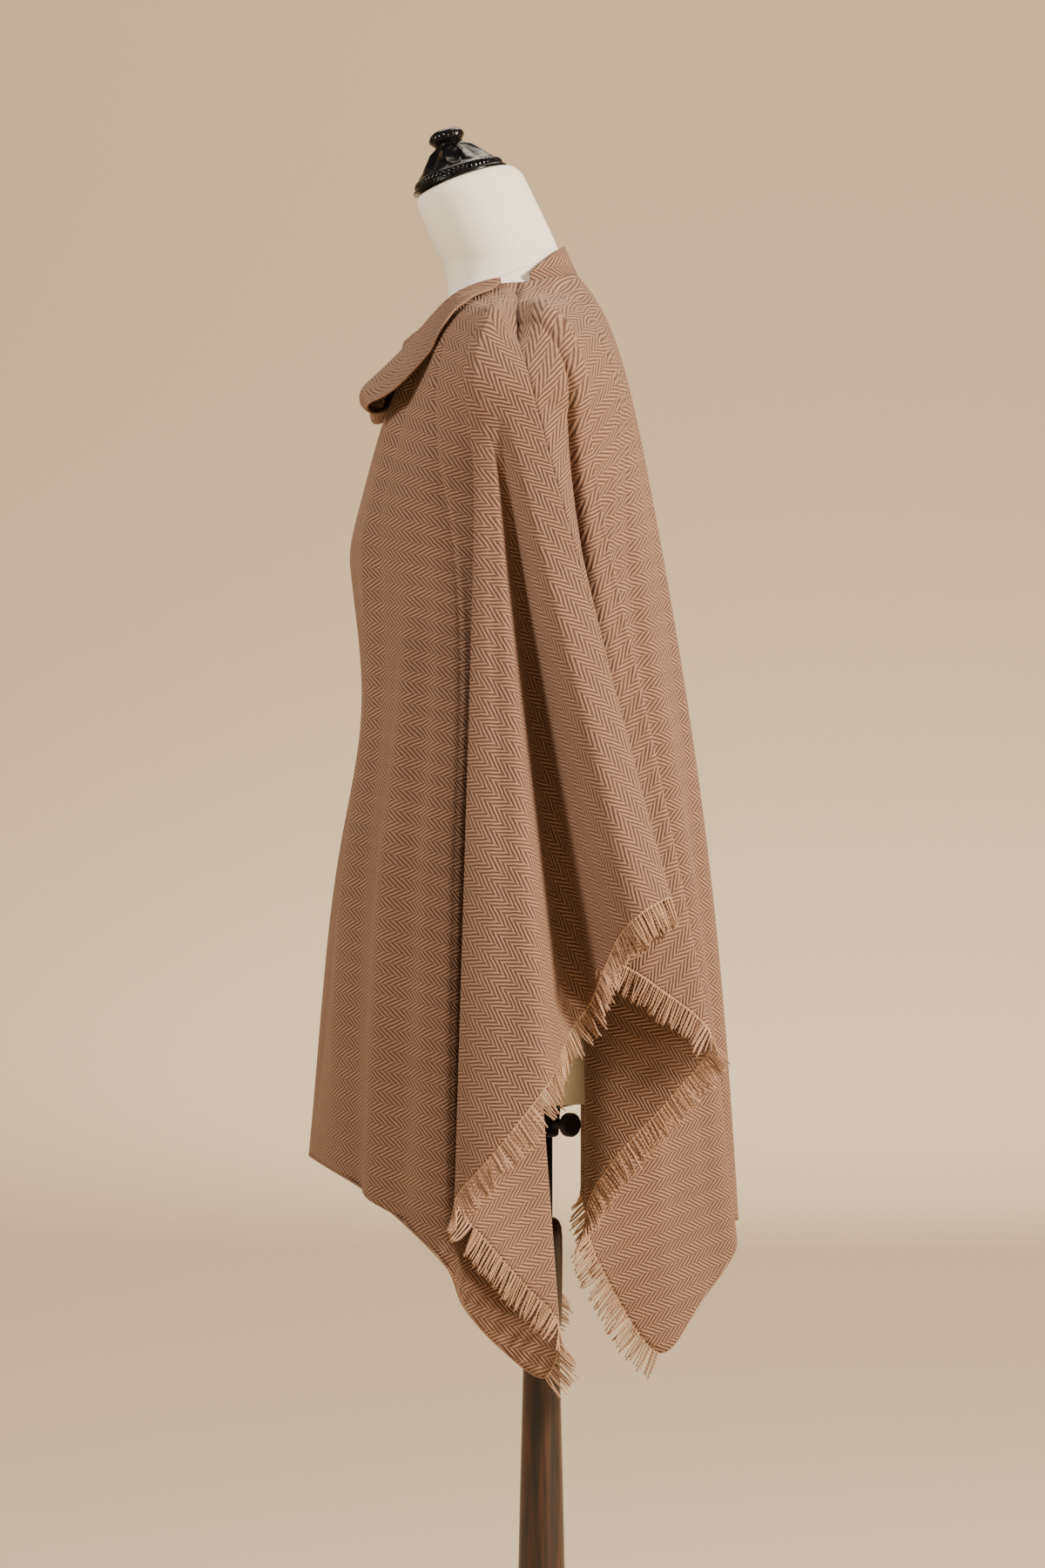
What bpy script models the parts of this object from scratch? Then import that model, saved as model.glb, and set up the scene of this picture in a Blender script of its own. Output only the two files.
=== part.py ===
"""A rectangular wool poncho with fringed sides, worn on a limbless dress form with a turned stand."""

import math

import bpy
import numpy as np

MM = 0.001

# Driving dimensions of the cloth.
CLOTH_WALL = 2.0 * MM
SEAM_GAP = 0.3 * MM
NECK_GAP = 0.6 * MM
REST_GAP = 0.8 * MM
BODY_CLEARANCE = 6.0 * MM
LAPEL_CLEARANCE = 24.0 * MM
FRINGE_STRIP = 5.0 * MM
FRINGE_LENGTH = 26.0 * MM
FRINGE_WALL = 1.4 * MM
FRINGE_GAP = 0.7 * MM
FRINGE_SPACING = 13.0 * MM
FRINGE_SAG = 0.85
PANEL_ROWS = 18
COLUMNS_PER_FOLD = 2

# Driving dimensions of the form and the stand.
TORSO_SIDES = 24
NECK_RINGS = 5
SHOULDER_Y = -24.0 * MM
NECK_SIDE_HEIGHT = 1462.0 * MM
SHOULDER_END_HEIGHT = 1394.0 * MM
NECK_TOP = (-76.0 * MM, 1575.0 * MM)
NECK_TOP_RADIUS = 55.0 * MM
NECK_TILT = math.radians(18.0)
TURNED_SIDES = 20

# The torso at rising heights: half its width, and where its front and back lie (Y, in mm).
TORSO_COLUMNS = ("height", "half_width", "front", "back")
TORSO_SECTIONS = (
    (660, 124, -116, 78),
    (700, 137, -128, 90),
    (800, 142, -134, 96),
    (900, 134, -128, 78),
    (1000, 114, -122, 58),
    (1100, 124, -152, 70),
    (1200, 144, -183, 84),
    (1250, 152, -173, 87),
    (1320, 168, -139, 86),
    (1360, 179, -124, 80),
    (1390, 176, -114, 70),
    (1410, 164, -108, 62),
    (1427, 139, -102, 54),
    (1441, 109, -97, 47),
    (1453, 84, -94, 40),
    (1468, 67, -93, 33),
    (1490, 59, -97, 23),
)

# Each fold line of the left half runs from its seat on the top edge to its foot on the hem or fringe.
# The seat counts 0 at the centre line, 1 at the neck side and 2 at the end of the shoulder (feet in mm).
FRONT_FOLDS = (
    (0.000, 0, -231, 602),
    (0.330, 54, -226, 604),
    (0.660, 104, -203, 596),
    (0.950, 152, -168, 580),
    (1.080, 202, -132, 556),
    (1.170, 234, -99, 528),
    (1.220, 235, -84, 508),
    (1.270, 217, -74, 478),
    (1.340, 200, -42, 439),
    (1.410, 193, 2, 408),
    (1.460, 204, 15, 459),
    (1.510, 222, -19, 501),
    (1.570, 240, -50, 539),
    (1.620, 257, -78, 574),
    (1.660, 268, -77, 592),
    (1.700, 286, -39, 637),
    (1.740, 286, 1, 689),
    (1.775, 256, 14, 712),
    (1.810, 214, 25, 737),
    (1.850, 206, 45, 764),
    (1.880, 238, 58, 798),
    (1.910, 273, 73, 833),
    (1.940, 284, 95, 855),
)
RIDGE_FOLD = (2.00, 262, 119, 866)
BACK_FOLDS = (
    (0.00, 0, 196, 537),
    (0.34, 37, 164, 541),
    (0.68, 72, 191, 521),
    (1.00, 98, 154, 467),
    (1.16, 118, 114, 421),
    (1.30, 128, 68, 484),
    (1.43, 142, 42, 553),
    (1.54, 164, 66, 609),
    (1.64, 184, 122, 673),
    (1.73, 202, 160, 732),
    (1.80, 212, 104, 783),
    (1.87, 218, 60, 814),
    (1.94, 234, 92, 841),
)
FRONT_CORNER_FOLD = 9
BACK_CORNER_FOLD = 4
BACK_SWELL = 19.0 * MM
BACK_SWELL_FALL = 1.15
FRONT_SWELL = 40.0 * MM
FRONT_SWELL_FALL = 0.9
WAIST_SAG = 14.0 * MM
WAIST_HEIGHT = 1040.0 * MM
WAIST_SPAN = 120.0 * MM
HANGING_SEAT = 1.45
SWELL_SEAT = 1.30
HANGING_FADE = 0.35
NECK_SIDE_OUT = 10.0 * MM
REST_SHARE = 0.02
FAN_SEATS = 0.12
FAN_SPREAD = 34.0 * MM
FAN_OUT = 18.0 * MM
SHOULDER_ROUNDING = 0.05
ROW_SPACING = 1.7
HUNG_ROUNDS = 500
HUNG_SHARE = 0.9

# How far the front bellies out sideways half way down, and how much further off the torso the cloth
# hangs over the arm, both by its seat (mm).
OUT_COLUMNS = ("seat", "out")
BELLY_STATIONS = (
    (0.40, 0), (0.80, 8), (1.10, 23), (1.22, 25), (1.34, 27), (1.46, 24), (1.57, 16), (1.64, 8), (1.72, 0),
)
HANGING_STATIONS = ((1.38, 0), (1.45, 8), (1.49, 18), (1.59, 21), (1.66, 29), (1.73, 33), (1.90, 34))

# Centre points of the neck edge, front and back.
NECK_FRONT = (-118.0 * MM, 1402.0 * MM)
NECK_BACK = (36.0 * MM, 1478.0 * MM)

# The lapel from the centre front to the neck side: how far it is turned down, its rise, its curl.
LAPEL_COLUMNS = ("place", "rise", "reach", "lean", "curl")
LAPEL_STATIONS = (
    (0.00, 9, 135, 0.75, 1.00),
    (0.16, 9, 122, 0.73, 0.75),
    (0.32, 7, 100, 0.69, 0.40),
    (0.50, 4, 82, 0.59, 0.00),
    (0.72, 2, 48, 0.58, 0.00),
    (0.90, 1, 15, 0.62, 0.00),
)
LAPEL_ROLL = 5.0 * MM
LAPEL_CURL = 15.0 * MM
LAPEL_CURL_TURN = math.radians(255.0)
LAPEL_COLUMNS_COUNT = 11
LAPEL_ROWS = 13
BAND_HEIGHT = 32.0 * MM
BAND_END_HEIGHT = 3.0 * MM
BAND_END = 0.86
BAND_COLUMNS = 9
BAND_ROWS = 3
BAND_LEAN = math.radians(24.0)

# Turned profiles, top to bottom (radius and height in mm).
TURNED_COLUMNS = ("radius", "height")
COLLAR_PROFILE = ((34, 659.4), (34, 652), (19, 648), (17, 622), (14.3, 620))
ROD_PROFILE = ((11, 619.7), (11, 540.3))
POLE_PROFILE = (
    (9, 540), (15, 538), (20, 530), (21, 505), (20, 430), (15, 424), (15, 414), (18, 408),
    (20, 330), (23, 200), (25, 120), (22, 96), (30, 88), (30, 76), (24, 68), (26, 42.3),
)
BASE_PROFILE = ((60, 42), (74, 36), (78, 30), (150, 26), (186, 20), (192, 12), (190, 0))
CAP_PROFILE = (
    (7, 54), (14, 52), (18, 47), (18, 42), (14, 39), (20, 33), (31, 20), (41, 12), (48, 8), (49, 0),
)
CAP_FLUTES = 12
CAP_FLUTE_DEPTH = 0.05
CAP_FORWARD = 5.0 * MM
SCREW_PROFILE = ((11, 26), (12, 24), (12, 18), (8, 15), (5, 13), (5, 0))
SCREW_SIDES = 12
SCREW_SEAT = 18.6 * MM
SCREW_TURN = math.radians(45.0)
SCREW_HEIGHT = 634.0 * MM


def clear_scene():
    for obj in list(bpy.data.objects):
        bpy.data.objects.remove(obj, do_unlink=True)


def material(name, colour, roughness, metallic=0.0):
    made = bpy.data.materials.new(name)
    made.use_nodes = True
    shader = made.node_tree.nodes["Principled BSDF"]
    shader.inputs["Base Color"].default_value = (*colour, 1.0)
    shader.inputs["Roughness"].default_value = roughness
    shader.inputs["Metallic"].default_value = metallic
    return made


def add_solid(name, points, faces, finish):
    mesh = bpy.data.meshes.new(name)
    mesh.from_pydata([tuple(p) for p in points], [], faces)
    mesh.validate()
    mesh.materials.append(finish)
    mesh.shade_smooth()
    mesh.set_sharp_from_angle(angle=math.radians(40.0))
    obj = bpy.data.objects.new(name, mesh)
    bpy.context.collection.objects.link(obj)
    return obj


def through(stations, values, at):
    """A smooth curve through the values, with each slope taken from the neighbouring stations."""
    stations = np.asarray(stations, float)
    values = np.asarray(values, float)
    at = np.clip(np.asarray(at, float), stations[0], stations[-1])
    slopes = np.gradient(values, stations, axis=0)
    i = np.clip(np.searchsorted(stations, at, side="right") - 1, 0, len(stations) - 2)
    step = stations[i + 1] - stations[i]
    u = (at - stations[i]) / step
    if values.ndim == 2:
        u = u[:, None]
        step = step[:, None]
    rise = values[i + 1] - values[i]
    ease = u * u * (3.0 - 2.0 * u)
    leave = u * (1.0 - u) ** 2
    reach = u * u * (u - 1.0)
    return values[i] + rise * ease + step * (leave * slopes[i] + reach * slopes[i + 1])


TORSO = dict(zip(TORSO_COLUMNS, np.array(TORSO_SECTIONS, float).T * MM))


def torso_at(height):
    """Half width, front and back of the torso at any height."""
    return [through(TORSO["height"], TORSO[name], height) for name in TORSO_COLUMNS[1:]]


def torso_surface(x, height, side):
    """Y of the torso's front (side -1) or back (side 1) at a place x across it."""
    half, front, back = torso_at(height)
    middle = (front + back) / 2.0
    depth = (back - front) / 2.0
    return middle + side * depth * np.sqrt(np.clip(1.0 - (x / half) ** 2, 0.0, 1.0))


def body_level(points):
    """How far points lie out from the torso's middle: 1 on its surface, more outside."""
    x, y, z = points.T
    half, front, back = torso_at(z)
    return np.hypot(x / half, (y - (front + back) / 2.0) / ((back - front) / 2.0))


def body_distance(points):
    """Distance of points from the torso, and the direction away from it."""
    step = 0.5 * MM
    slope = np.stack([
        (body_level(points + move) - body_level(points - move)) / (2.0 * step)
        for move in np.eye(3) * step
    ], axis=1)
    size = np.linalg.norm(slope, axis=1)
    return (body_level(points) - 1.0) / size, slope / size[:, None]


def inside_body(points, side, clearance, along_y):
    """How far along Y points must move to be the clearance in front of the torso, or behind it."""
    x, y, z = points.T
    limit = side * torso_surface(x, z, side) + clearance
    inside = along_y * np.clip((torso_at(z)[0] - np.abs(x)) / (10.0 * MM), 0.0, 1.0)
    return np.maximum(limit - side * y, 0.0) * inside


def hung_over(needed):
    """Spreads a push along a path, so that cloth held off at one place falls away slowly from it."""
    given = np.array(needed)
    for _ in range(HUNG_ROUNDS):
        spread = (given[:-2] + 2.0 * given[1:-1] + given[2:]) / 4.0
        given[1:-1] = np.maximum(needed[1:-1], spread)
    return given


def straight_away(points, clearance):
    """Moves points closer to the torso than the clearance straight away from it."""
    moved = np.array(points)
    for _ in range(4):
        distance, away = body_distance(moved)
        moved += away * np.maximum(clearance - distance, 0.0)[:, None]
    return moved


def out_at(seat, stations):
    table = dict(zip(OUT_COLUMNS, np.array(stations, float).T))
    return float(np.interp(seat, table["seat"], table["out"])) * MM


def resample(path, fractions):
    """Points at the given fractions of a path's length."""
    steps = np.linalg.norm(np.diff(path, axis=0), axis=1)
    run = np.concatenate(([0.0], np.cumsum(steps)))
    run /= run[-1]
    return np.stack([np.interp(fractions, run, path[:, k]) for k in range(3)], axis=1)


def shoulder_outline():
    """The torso's shoulder seen from the front, as points of a path with the outward normal at each."""
    heights = np.linspace(NECK_SIDE_HEIGHT, SHOULDER_END_HEIGHT, 200)
    half = torso_at(heights)[0]
    tangent = np.stack([np.gradient(half), np.gradient(heights)], axis=1)
    tangent /= np.linalg.norm(tangent, axis=1)[:, None]
    points = np.stack([half, np.full_like(half, SHOULDER_Y), heights], axis=1)
    normals = np.stack([-tangent[:, 1], np.zeros_like(half), tangent[:, 0]], axis=1)
    return points, normals


def shoulder_seam(share):
    """Points along the shoulder, from the neck side (0) to the shoulder's end (1), just above the torso."""
    points, normals = shoulder_outline()
    return resample(points + normals * (CLOTH_WALL / 2.0 + REST_GAP), share)


def shoulder_normals(share):
    points, normals = shoulder_outline()
    steps = np.linalg.norm(np.diff(points, axis=0), axis=1)
    run = np.concatenate(([0.0], np.cumsum(steps)))
    return np.stack([np.interp(share * run[-1], run, normals[:, k]) for k in range(3)], axis=1)


def neck_edge(share, centre):
    """Points along the neck edge, from the centre line (0) to the neck side (1), on a quarter ellipse."""
    side = -1 if centre[0] < SHOULDER_Y else 1
    neck_side = shoulder_seam(np.array([0.0]))[0]
    turn = share * math.pi / 2.0
    x = neck_side[0] * np.sin(turn)
    y = neck_side[1] + (centre[0] - neck_side[1]) * np.cos(turn)
    z = neck_side[2] + (centre[1] - neck_side[2]) * np.cos(turn) ** 1.4
    points = np.stack([x, y, z], axis=1)
    rest = CLOTH_WALL / 2.0 + REST_GAP
    clearance = rest + (BODY_CLEARANCE - rest) * (1.0 - share ** 3)
    points[:, 1] += side * inside_body(points, side, clearance, 1.0 - share)
    return straight_away(points, clearance)


def seats(counts, centre):
    """Places on a panel's top edge: 0 to 1 along the neck, 1 to 2 along the shoulder."""
    along_neck = neck_edge(np.clip(counts, 0.0, 1.0), centre)
    along_shoulder = shoulder_seam(np.clip(counts - 1.0, 0.0, 1.0))
    return np.where((counts <= 1.0)[:, None], along_neck, along_shoulder)


def all_folds():
    """Fold lines of the left half from centre front round to centre back, with a mirrored one at each end.

    The seat counts on past the shoulder's end, so it is 2 on the ridge and 4 at the centre back.
    """
    front = np.array(FRONT_FOLDS + (RIDGE_FOLD,), float)
    back = np.array(BACK_FOLDS[::-1], float)
    back[:, 0] = 4.0 - back[:, 0]
    mirror = np.array([-1.0, -1.0, 1.0, 1.0])
    last = back[-2] * mirror + np.array([8.0, 0.0, 0.0, 0.0])
    return np.concatenate([[front[1] * mirror], front, back, [last]])


def fold_path(count, foot):
    """Fine path of one column from its seat down to its foot, round the shoulder and clear of the torso."""
    side = -1 if count < 2.0 else 1
    seat = min(count, 4.0 - count)
    top = seats(np.array([seat]), NECK_FRONT if side < 0 else NECK_BACK)[0]
    fine = np.linspace(0.0, 1.0, 160)
    path = top + (foot - top) * fine[:, None]
    away = (1.0 - np.exp(-fine / SHOULDER_ROUNDING)) * (1.0 - fine)
    from_end = min((2.0 - seat) / FAN_SEATS, 1.0)
    hanging = out_at(seat, HANGING_STATIONS)
    beside = math.sin(math.pi * min(max((seat - 0.82) / 0.4, 0.0), 1.0))
    path[:, 0] += FAN_OUT * (1.0 - from_end) * away
    if side < 0:
        path[:, 0] += out_at(seat, BELLY_STATIONS) * np.sin(math.pi * fine)
    path[:, 0] += NECK_SIDE_OUT * beside * (1.0 - np.exp(-fine / REST_SHARE)) * (1.0 - fine)
    path[:, 1] += side * FAN_SPREAD * math.sin(from_end * math.pi / 2.0) * away
    if side > 0:
        path[:, 1] += BACK_SWELL * np.sin(math.pi * fine ** BACK_SWELL_FALL) * (1.0 - seat / 2.0) ** 0.6
    else:
        beside_neck = math.sin(math.pi * min(seat / SWELL_SEAT, 1.0)) * min(seat, 1.0) ** 2
        path[:, 1] -= FRONT_SWELL * np.sin(math.pi * fine ** FRONT_SWELL_FALL) * beside_neck
        waist = np.exp(-(((path[:, 2] - WAIST_HEIGHT) / WAIST_SPAN) ** 2))
        path[:, 1] += WAIST_SAG * waist * min(max(SWELL_SEAT - seat, 0.0), 1.0)
    rest = CLOTH_WALL / 2.0 + REST_GAP
    clearance = rest + (BODY_CLEARANCE - rest) * np.clip(fine / REST_SHARE, 0.0, 1.0) + hanging * away
    along_y = min(max((HANGING_SEAT - seat) / HANGING_FADE, 0.0), 1.0)
    path[1:, 1] += side * hung_over(inside_body(path, side, clearance, along_y))[1:]
    distance, outward = body_distance(path)
    path += outward * HUNG_SHARE * hung_over(np.maximum(clearance - distance, 0.0))[:, None]
    path[1:] = straight_away(path[1:], clearance[1:])
    path[0] = top
    return path


def left_sheet():
    """Mid-wall points, inward normals and seat counts of the left half, centre front to centre back."""
    folds = all_folds()
    numbers = np.arange(len(folds)) - 1
    columns = np.linspace(0, len(folds) - 3, (len(folds) - 3) * COLUMNS_PER_FOLD + 1)
    counts = np.interp(columns, numbers, folds[:, 0])
    feet = through(numbers, folds[:, 1:] * MM, columns)
    rows = np.linspace(0.0, 1.0, PANEL_ROWS) ** ROW_SPACING
    grid = np.array([resample(fold_path(*column), rows) for column in zip(counts, feet)]).transpose(1, 0, 2)
    normals = grid_normals(grid)
    seat = np.minimum(counts, 4.0 - counts)
    on_shoulder = seat >= 1.0
    normals[0, on_shoulder] = -shoulder_normals(seat[on_shoulder] - 1.0)
    return grid, normals, counts


def seam_edges(grid, ridge):
    """Splits the sheet at its shoulder ridge into a front and a back that stay a seam gap apart."""
    half_gap = SEAM_GAP / 2.0
    across = np.gradient(grid, axis=1)[:, ridge]
    across /= np.linalg.norm(across, axis=1)[:, None]
    front = np.array(grid[:, :ridge + 1])
    back = np.array(grid[:, ridge:])
    front[1:, -1] -= across[1:] * half_gap
    back[1:, 0] += across[1:] * half_gap
    front[0, :, 1] -= half_gap
    back[0, :, 1] += half_gap
    return front, back


def mirrored(grid):
    """Adds the right half, the mirror image of a left half whose columns start at the centre line."""
    right = grid[:, :0:-1] * np.array([-1.0, 1.0, 1.0])
    return np.concatenate([right, grid], axis=1)


def grid_normals(grid):
    across = np.gradient(grid, axis=1)
    down = np.gradient(grid, axis=0)
    normal = np.cross(across, down)
    return normal / np.linalg.norm(normal, axis=2)[:, :, None]


def halves(quad, points):
    """A quad split into two triangles along its shorter diagonal."""
    a, b, c, d = quad
    if np.linalg.norm(points[a] - points[c]) <= np.linalg.norm(points[b] - points[d]):
        return [(a, b, c), (a, c, d)]
    return [(a, b, d), (b, c, d)]


def wall(grid, normals, thickness):
    """A closed wall of even thickness round a grid of mid-wall points."""
    rows, columns = grid.shape[:2]
    count = rows * columns
    points = np.concatenate([
        (grid + normals * thickness / 2.0).reshape(-1, 3),
        (grid - normals * thickness / 2.0).reshape(-1, 3),
    ])
    middle = grid.reshape(-1, 3)
    faces = []
    for r in range(rows - 1):
        for c in range(columns - 1):
            a = r * columns + c
            for face in halves((a, a + 1, a + columns + 1, a + columns), middle):
                faces.append(face)
                faces.append(tuple(count + k for k in face[::-1]))
    rim = list(range(columns))
    rim += [r * columns + columns - 1 for r in range(1, rows)]
    rim += [(rows - 1) * columns + c for c in range(columns - 2, -1, -1)]
    rim += [r * columns for r in range(rows - 2, 0, -1)]
    for a, b in zip(rim, rim[1:] + rim[:1]):
        faces += halves((b, a, count + a, count + b), points)
    return points, faces


def edge_at(places, counts, rows):
    """Rows of points of a panel's neck edge, read at places between its columns."""
    return [np.stack([np.interp(places, counts, row[:, k]) for k in range(3)], axis=1) for row in rows]


def neck_root(places, counts, grid, normals):
    """Where a strip sewn to a neck edge starts, a seam gap clear of the panel, and the facing there."""
    root, facing, below = edge_at(places, counts, (grid[0], normals[0], grid[1]))
    along = np.gradient(root, axis=0)
    along /= np.linalg.norm(along, axis=1)[:, None]
    up = root - below
    up -= along * np.sum(up * along, axis=1)[:, None]
    return root + up / np.linalg.norm(up, axis=1)[:, None] * NECK_GAP, facing


def lapel_section(place, root):
    """Path of the lapel at one place: up from the neck edge, over, down the chest and into its curl."""
    table = dict(zip(LAPEL_COLUMNS, np.array(LAPEL_STATIONS, float).T))
    rise, reach, lean, curl = (through(table["place"], table[name], place) for name in LAPEL_COLUMNS[1:])
    turn = place * math.pi / 2.0
    outward = np.array([math.sin(turn), -math.cos(turn), 0.0])
    falling = math.pi - math.asin(lean)
    curled = curl * LAPEL_CURL_TURN
    curl_length = curled * LAPEL_CURL
    straight = max(reach * MM - curl_length, 0.0)
    marks = np.cumsum((0.0, rise * MM, LAPEL_ROLL * falling, straight, curl_length))
    run = np.linspace(0.0, marks[-1], 240)
    heading = np.interp(run, marks, (0.0, 0.0, falling, falling, falling + curled))
    step = run[1] - run[0]
    out = np.concatenate(([0.0], np.cumsum(np.sin(heading[:-1]) * step)))
    up = np.concatenate(([0.0], np.cumsum(np.cos(heading[:-1]) * step)))
    path = root + outward * out[:, None] + np.array([0.0, 0.0, 1.0]) * up[:, None]
    share = np.clip(run / (marks[2] + LAPEL_ROLL), 0.0, 1.0)
    clearance = BODY_CLEARANCE + (LAPEL_CLEARANCE - BODY_CLEARANCE) * share * (1.0 - place / 2.0)
    path[1:] = straight_away(path[1:], clearance[1:])
    return path


def front_lapel(grid, normals, counts):
    """The front neck edge turned outward, with a curl at the centre front."""
    places = np.linspace(0.0, LAPEL_STATIONS[-1][0], LAPEL_COLUMNS_COUNT)
    root, facing = neck_root(places, counts, grid, normals)
    rows = np.linspace(0.0, 1.0, LAPEL_ROWS)
    sections = [resample(lapel_section(*station), rows) for station in zip(places, root)]
    lapel = np.array(sections).transpose(1, 0, 2)
    lapel_normals = -grid_normals(lapel)
    lapel_normals[0] = facing
    return wall(mirrored(lapel), -mirrored(lapel_normals), CLOTH_WALL)


def back_neck_band(grid, normals, counts):
    """A narrow standing strip on the back neck edge, highest at the centre back."""
    places = np.linspace(0.0, BAND_END, BAND_COLUMNS)
    root, facing = neck_root(places, (4.0 - counts)[::-1], grid[:, ::-1], normals[:, ::-1])
    middle = np.cos(places * math.pi / 2.0)[:, None]
    height = BAND_END_HEIGHT + (BAND_HEIGHT - BAND_END_HEIGHT) * middle
    lean = np.array([0.0, -math.sin(BAND_LEAN), math.cos(BAND_LEAN)])
    rise = height * np.linspace(0.0, 1.0, BAND_ROWS)[:, None, None]
    band = root + rise * (lean * middle + np.array([0.0, 0.0, 1.0]) * (1.0 - middle))
    band_normals = -grid_normals(band)
    band_normals[0] = -facing
    return wall(mirrored(band), -mirrored(band_normals), CLOTH_WALL)


def fringe_edge(grid, normals, ridge):
    """Left edge from the front corner round to the back corner: points, normals and hanging directions."""
    first = FRONT_CORNER_FOLD * COLUMNS_PER_FOLD
    last = grid.shape[1] - 1 - BACK_CORNER_FOLD * COLUMNS_PER_FOLD
    points = grid[-1, first:last + 1]
    facing = normals[-1, first:last + 1]
    along = np.gradient(points, axis=0)
    hang = np.cross(facing, along)
    hang /= np.linalg.norm(hang, axis=1)[:, None]
    fall = (grid[-1] - grid[-2])[first:last + 1]
    fall /= np.linalg.norm(fall, axis=1)[:, None]
    square = hang * np.sign(np.sum(hang * fall, axis=1))[:, None]
    hang = square * (1.0 - FRINGE_SAG) + fall * FRINGE_SAG
    hang /= np.linalg.norm(hang, axis=1)[:, None]
    return points + square * FRINGE_GAP, facing, hang, ridge - first


def between(values, counts):
    """Values at even steps inside each interval, with the given number of steps in each."""
    parts = [values[:1]]
    for i, count in enumerate(counts):
        share = (np.arange(count) + 1.0)[:, None] / count
        parts.append(values[i] * (1.0 - share) + values[i + 1] * share)
    return np.concatenate(parts)


def fringe(points, facing, hang):
    """A narrow strip along a cloth edge with one pointed lock of yarn hanging from each of its steps."""
    lengths = np.linalg.norm(np.diff(points, axis=0), axis=1)
    counts = np.maximum(1, np.round(lengths / FRINGE_SPACING)).astype(int)
    edge, face, down = (between(values, counts) for values in (points, facing, hang))
    top = edge
    bottom = top + down * FRINGE_STRIP
    offset = face * FRINGE_WALL / 2.0
    stations = len(edge)
    number = np.arange(stations - 1)
    uneven = 1.0 + 0.14 * np.sin(number * 2.4) + 0.08 * np.sin(number * 5.1)
    sway = 0.16 * np.sin(number * 1.7)[:, None] * (edge[1:] - edge[:-1])
    root = (bottom[1:] + bottom[:-1]) / 2.0
    tips = root + (down[1:] + down[:-1]) / 2.0 * (FRINGE_LENGTH * uneven)[:, None] + sway
    solid = np.concatenate([top + offset, top - offset, bottom + offset, bottom - offset, tips])
    faces = []
    for i in range(stations - 1):
        a, b, c, d = (k * stations + i for k in range(4))
        tip = 4 * stations + i
        for quad in ((a, a + 1, c + 1, c), (b, d, d + 1, b + 1), (a, b, b + 1, a + 1)):
            faces += halves(quad, solid)
        faces += [(c, c + 1, tip), (d, tip, d + 1), (c + 1, d + 1, tip), (d, c, tip)]
    end = stations - 1
    faces.append((0, 2 * stations, 3 * stations, stations))
    faces.append((end, stations + end, 3 * stations + end, 2 * stations + end))
    return solid, faces


def turned(profile, sides, flutes=0, flute_depth=0.0):
    """A turned solid about Z, from a profile of radii and heights in mm that runs top to bottom."""
    table = dict(zip(TURNED_COLUMNS, np.array(profile, float).T * MM))
    angle = np.arange(sides) * 2.0 * math.pi / sides
    swell = 1.0 + flute_depth * np.cos(angle * flutes)
    radius = table["radius"][:, None] * swell
    height = np.repeat(table["height"][:, None], sides, axis=1)
    points = np.stack([radius * np.cos(angle), radius * np.sin(angle), height], axis=2)
    return points.reshape(-1, 3), ring_faces(len(profile), sides)


def ring_faces(rings, sides):
    """Faces of a closed stack of rings that runs top to bottom, each ring turning from X to Y."""
    faces = [tuple(range(sides))]
    for r in range(rings - 1):
        for k in range(sides):
            n = (k + 1) % sides
            faces.append((r * sides + k, (r + 1) * sides + k, (r + 1) * sides + n, r * sides + n))
    faces.append(tuple(range(rings * sides - 1, (rings - 1) * sides - 1, -1)))
    return faces


def torso_rings():
    """Rings of the torso from the tilted top of the neck down to its flat underside."""
    high = TORSO["height"][-1]
    places = np.arange(2 * len(TORSO_SECTIONS) - 1) / 2.0
    heights = np.interp(places, np.arange(len(TORSO_SECTIONS)), TORSO["height"])
    half, front, back = torso_at(heights)
    rings = []
    for place in np.linspace(1.0, 0.0, NECK_RINGS, endpoint=False):
        ease = place * place * (3.0 - 2.0 * place)
        middle = (front[-1] + back[-1]) / 2.0
        rings.append((
            half[-1] + (NECK_TOP_RADIUS - half[-1]) * ease,
            (back[-1] - front[-1]) / 2.0 * (1.0 - ease) + NECK_TOP_RADIUS * ease,
            middle + (NECK_TOP[0] - middle) * place,
            high + (NECK_TOP[1] - high) * place,
            NECK_TILT * place,
        ))
    for h, w, f, b in zip(heights[::-1], half[::-1], front[::-1], back[::-1]):
        rings.append((w, (b - f) / 2.0, (f + b) / 2.0, h, 0.0))
    return rings


def torso():
    angle = np.arange(TORSO_SIDES) * 2.0 * math.pi / TORSO_SIDES
    points = []
    for width, depth, middle, height, tilt in torso_rings():
        across = depth * np.sin(angle)
        points.append(np.stack([
            width * np.cos(angle),
            middle + across * math.cos(tilt),
            height + across * math.sin(tilt),
        ], axis=1))
    return np.concatenate(points), ring_faces(len(points), TORSO_SIDES)


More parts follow.
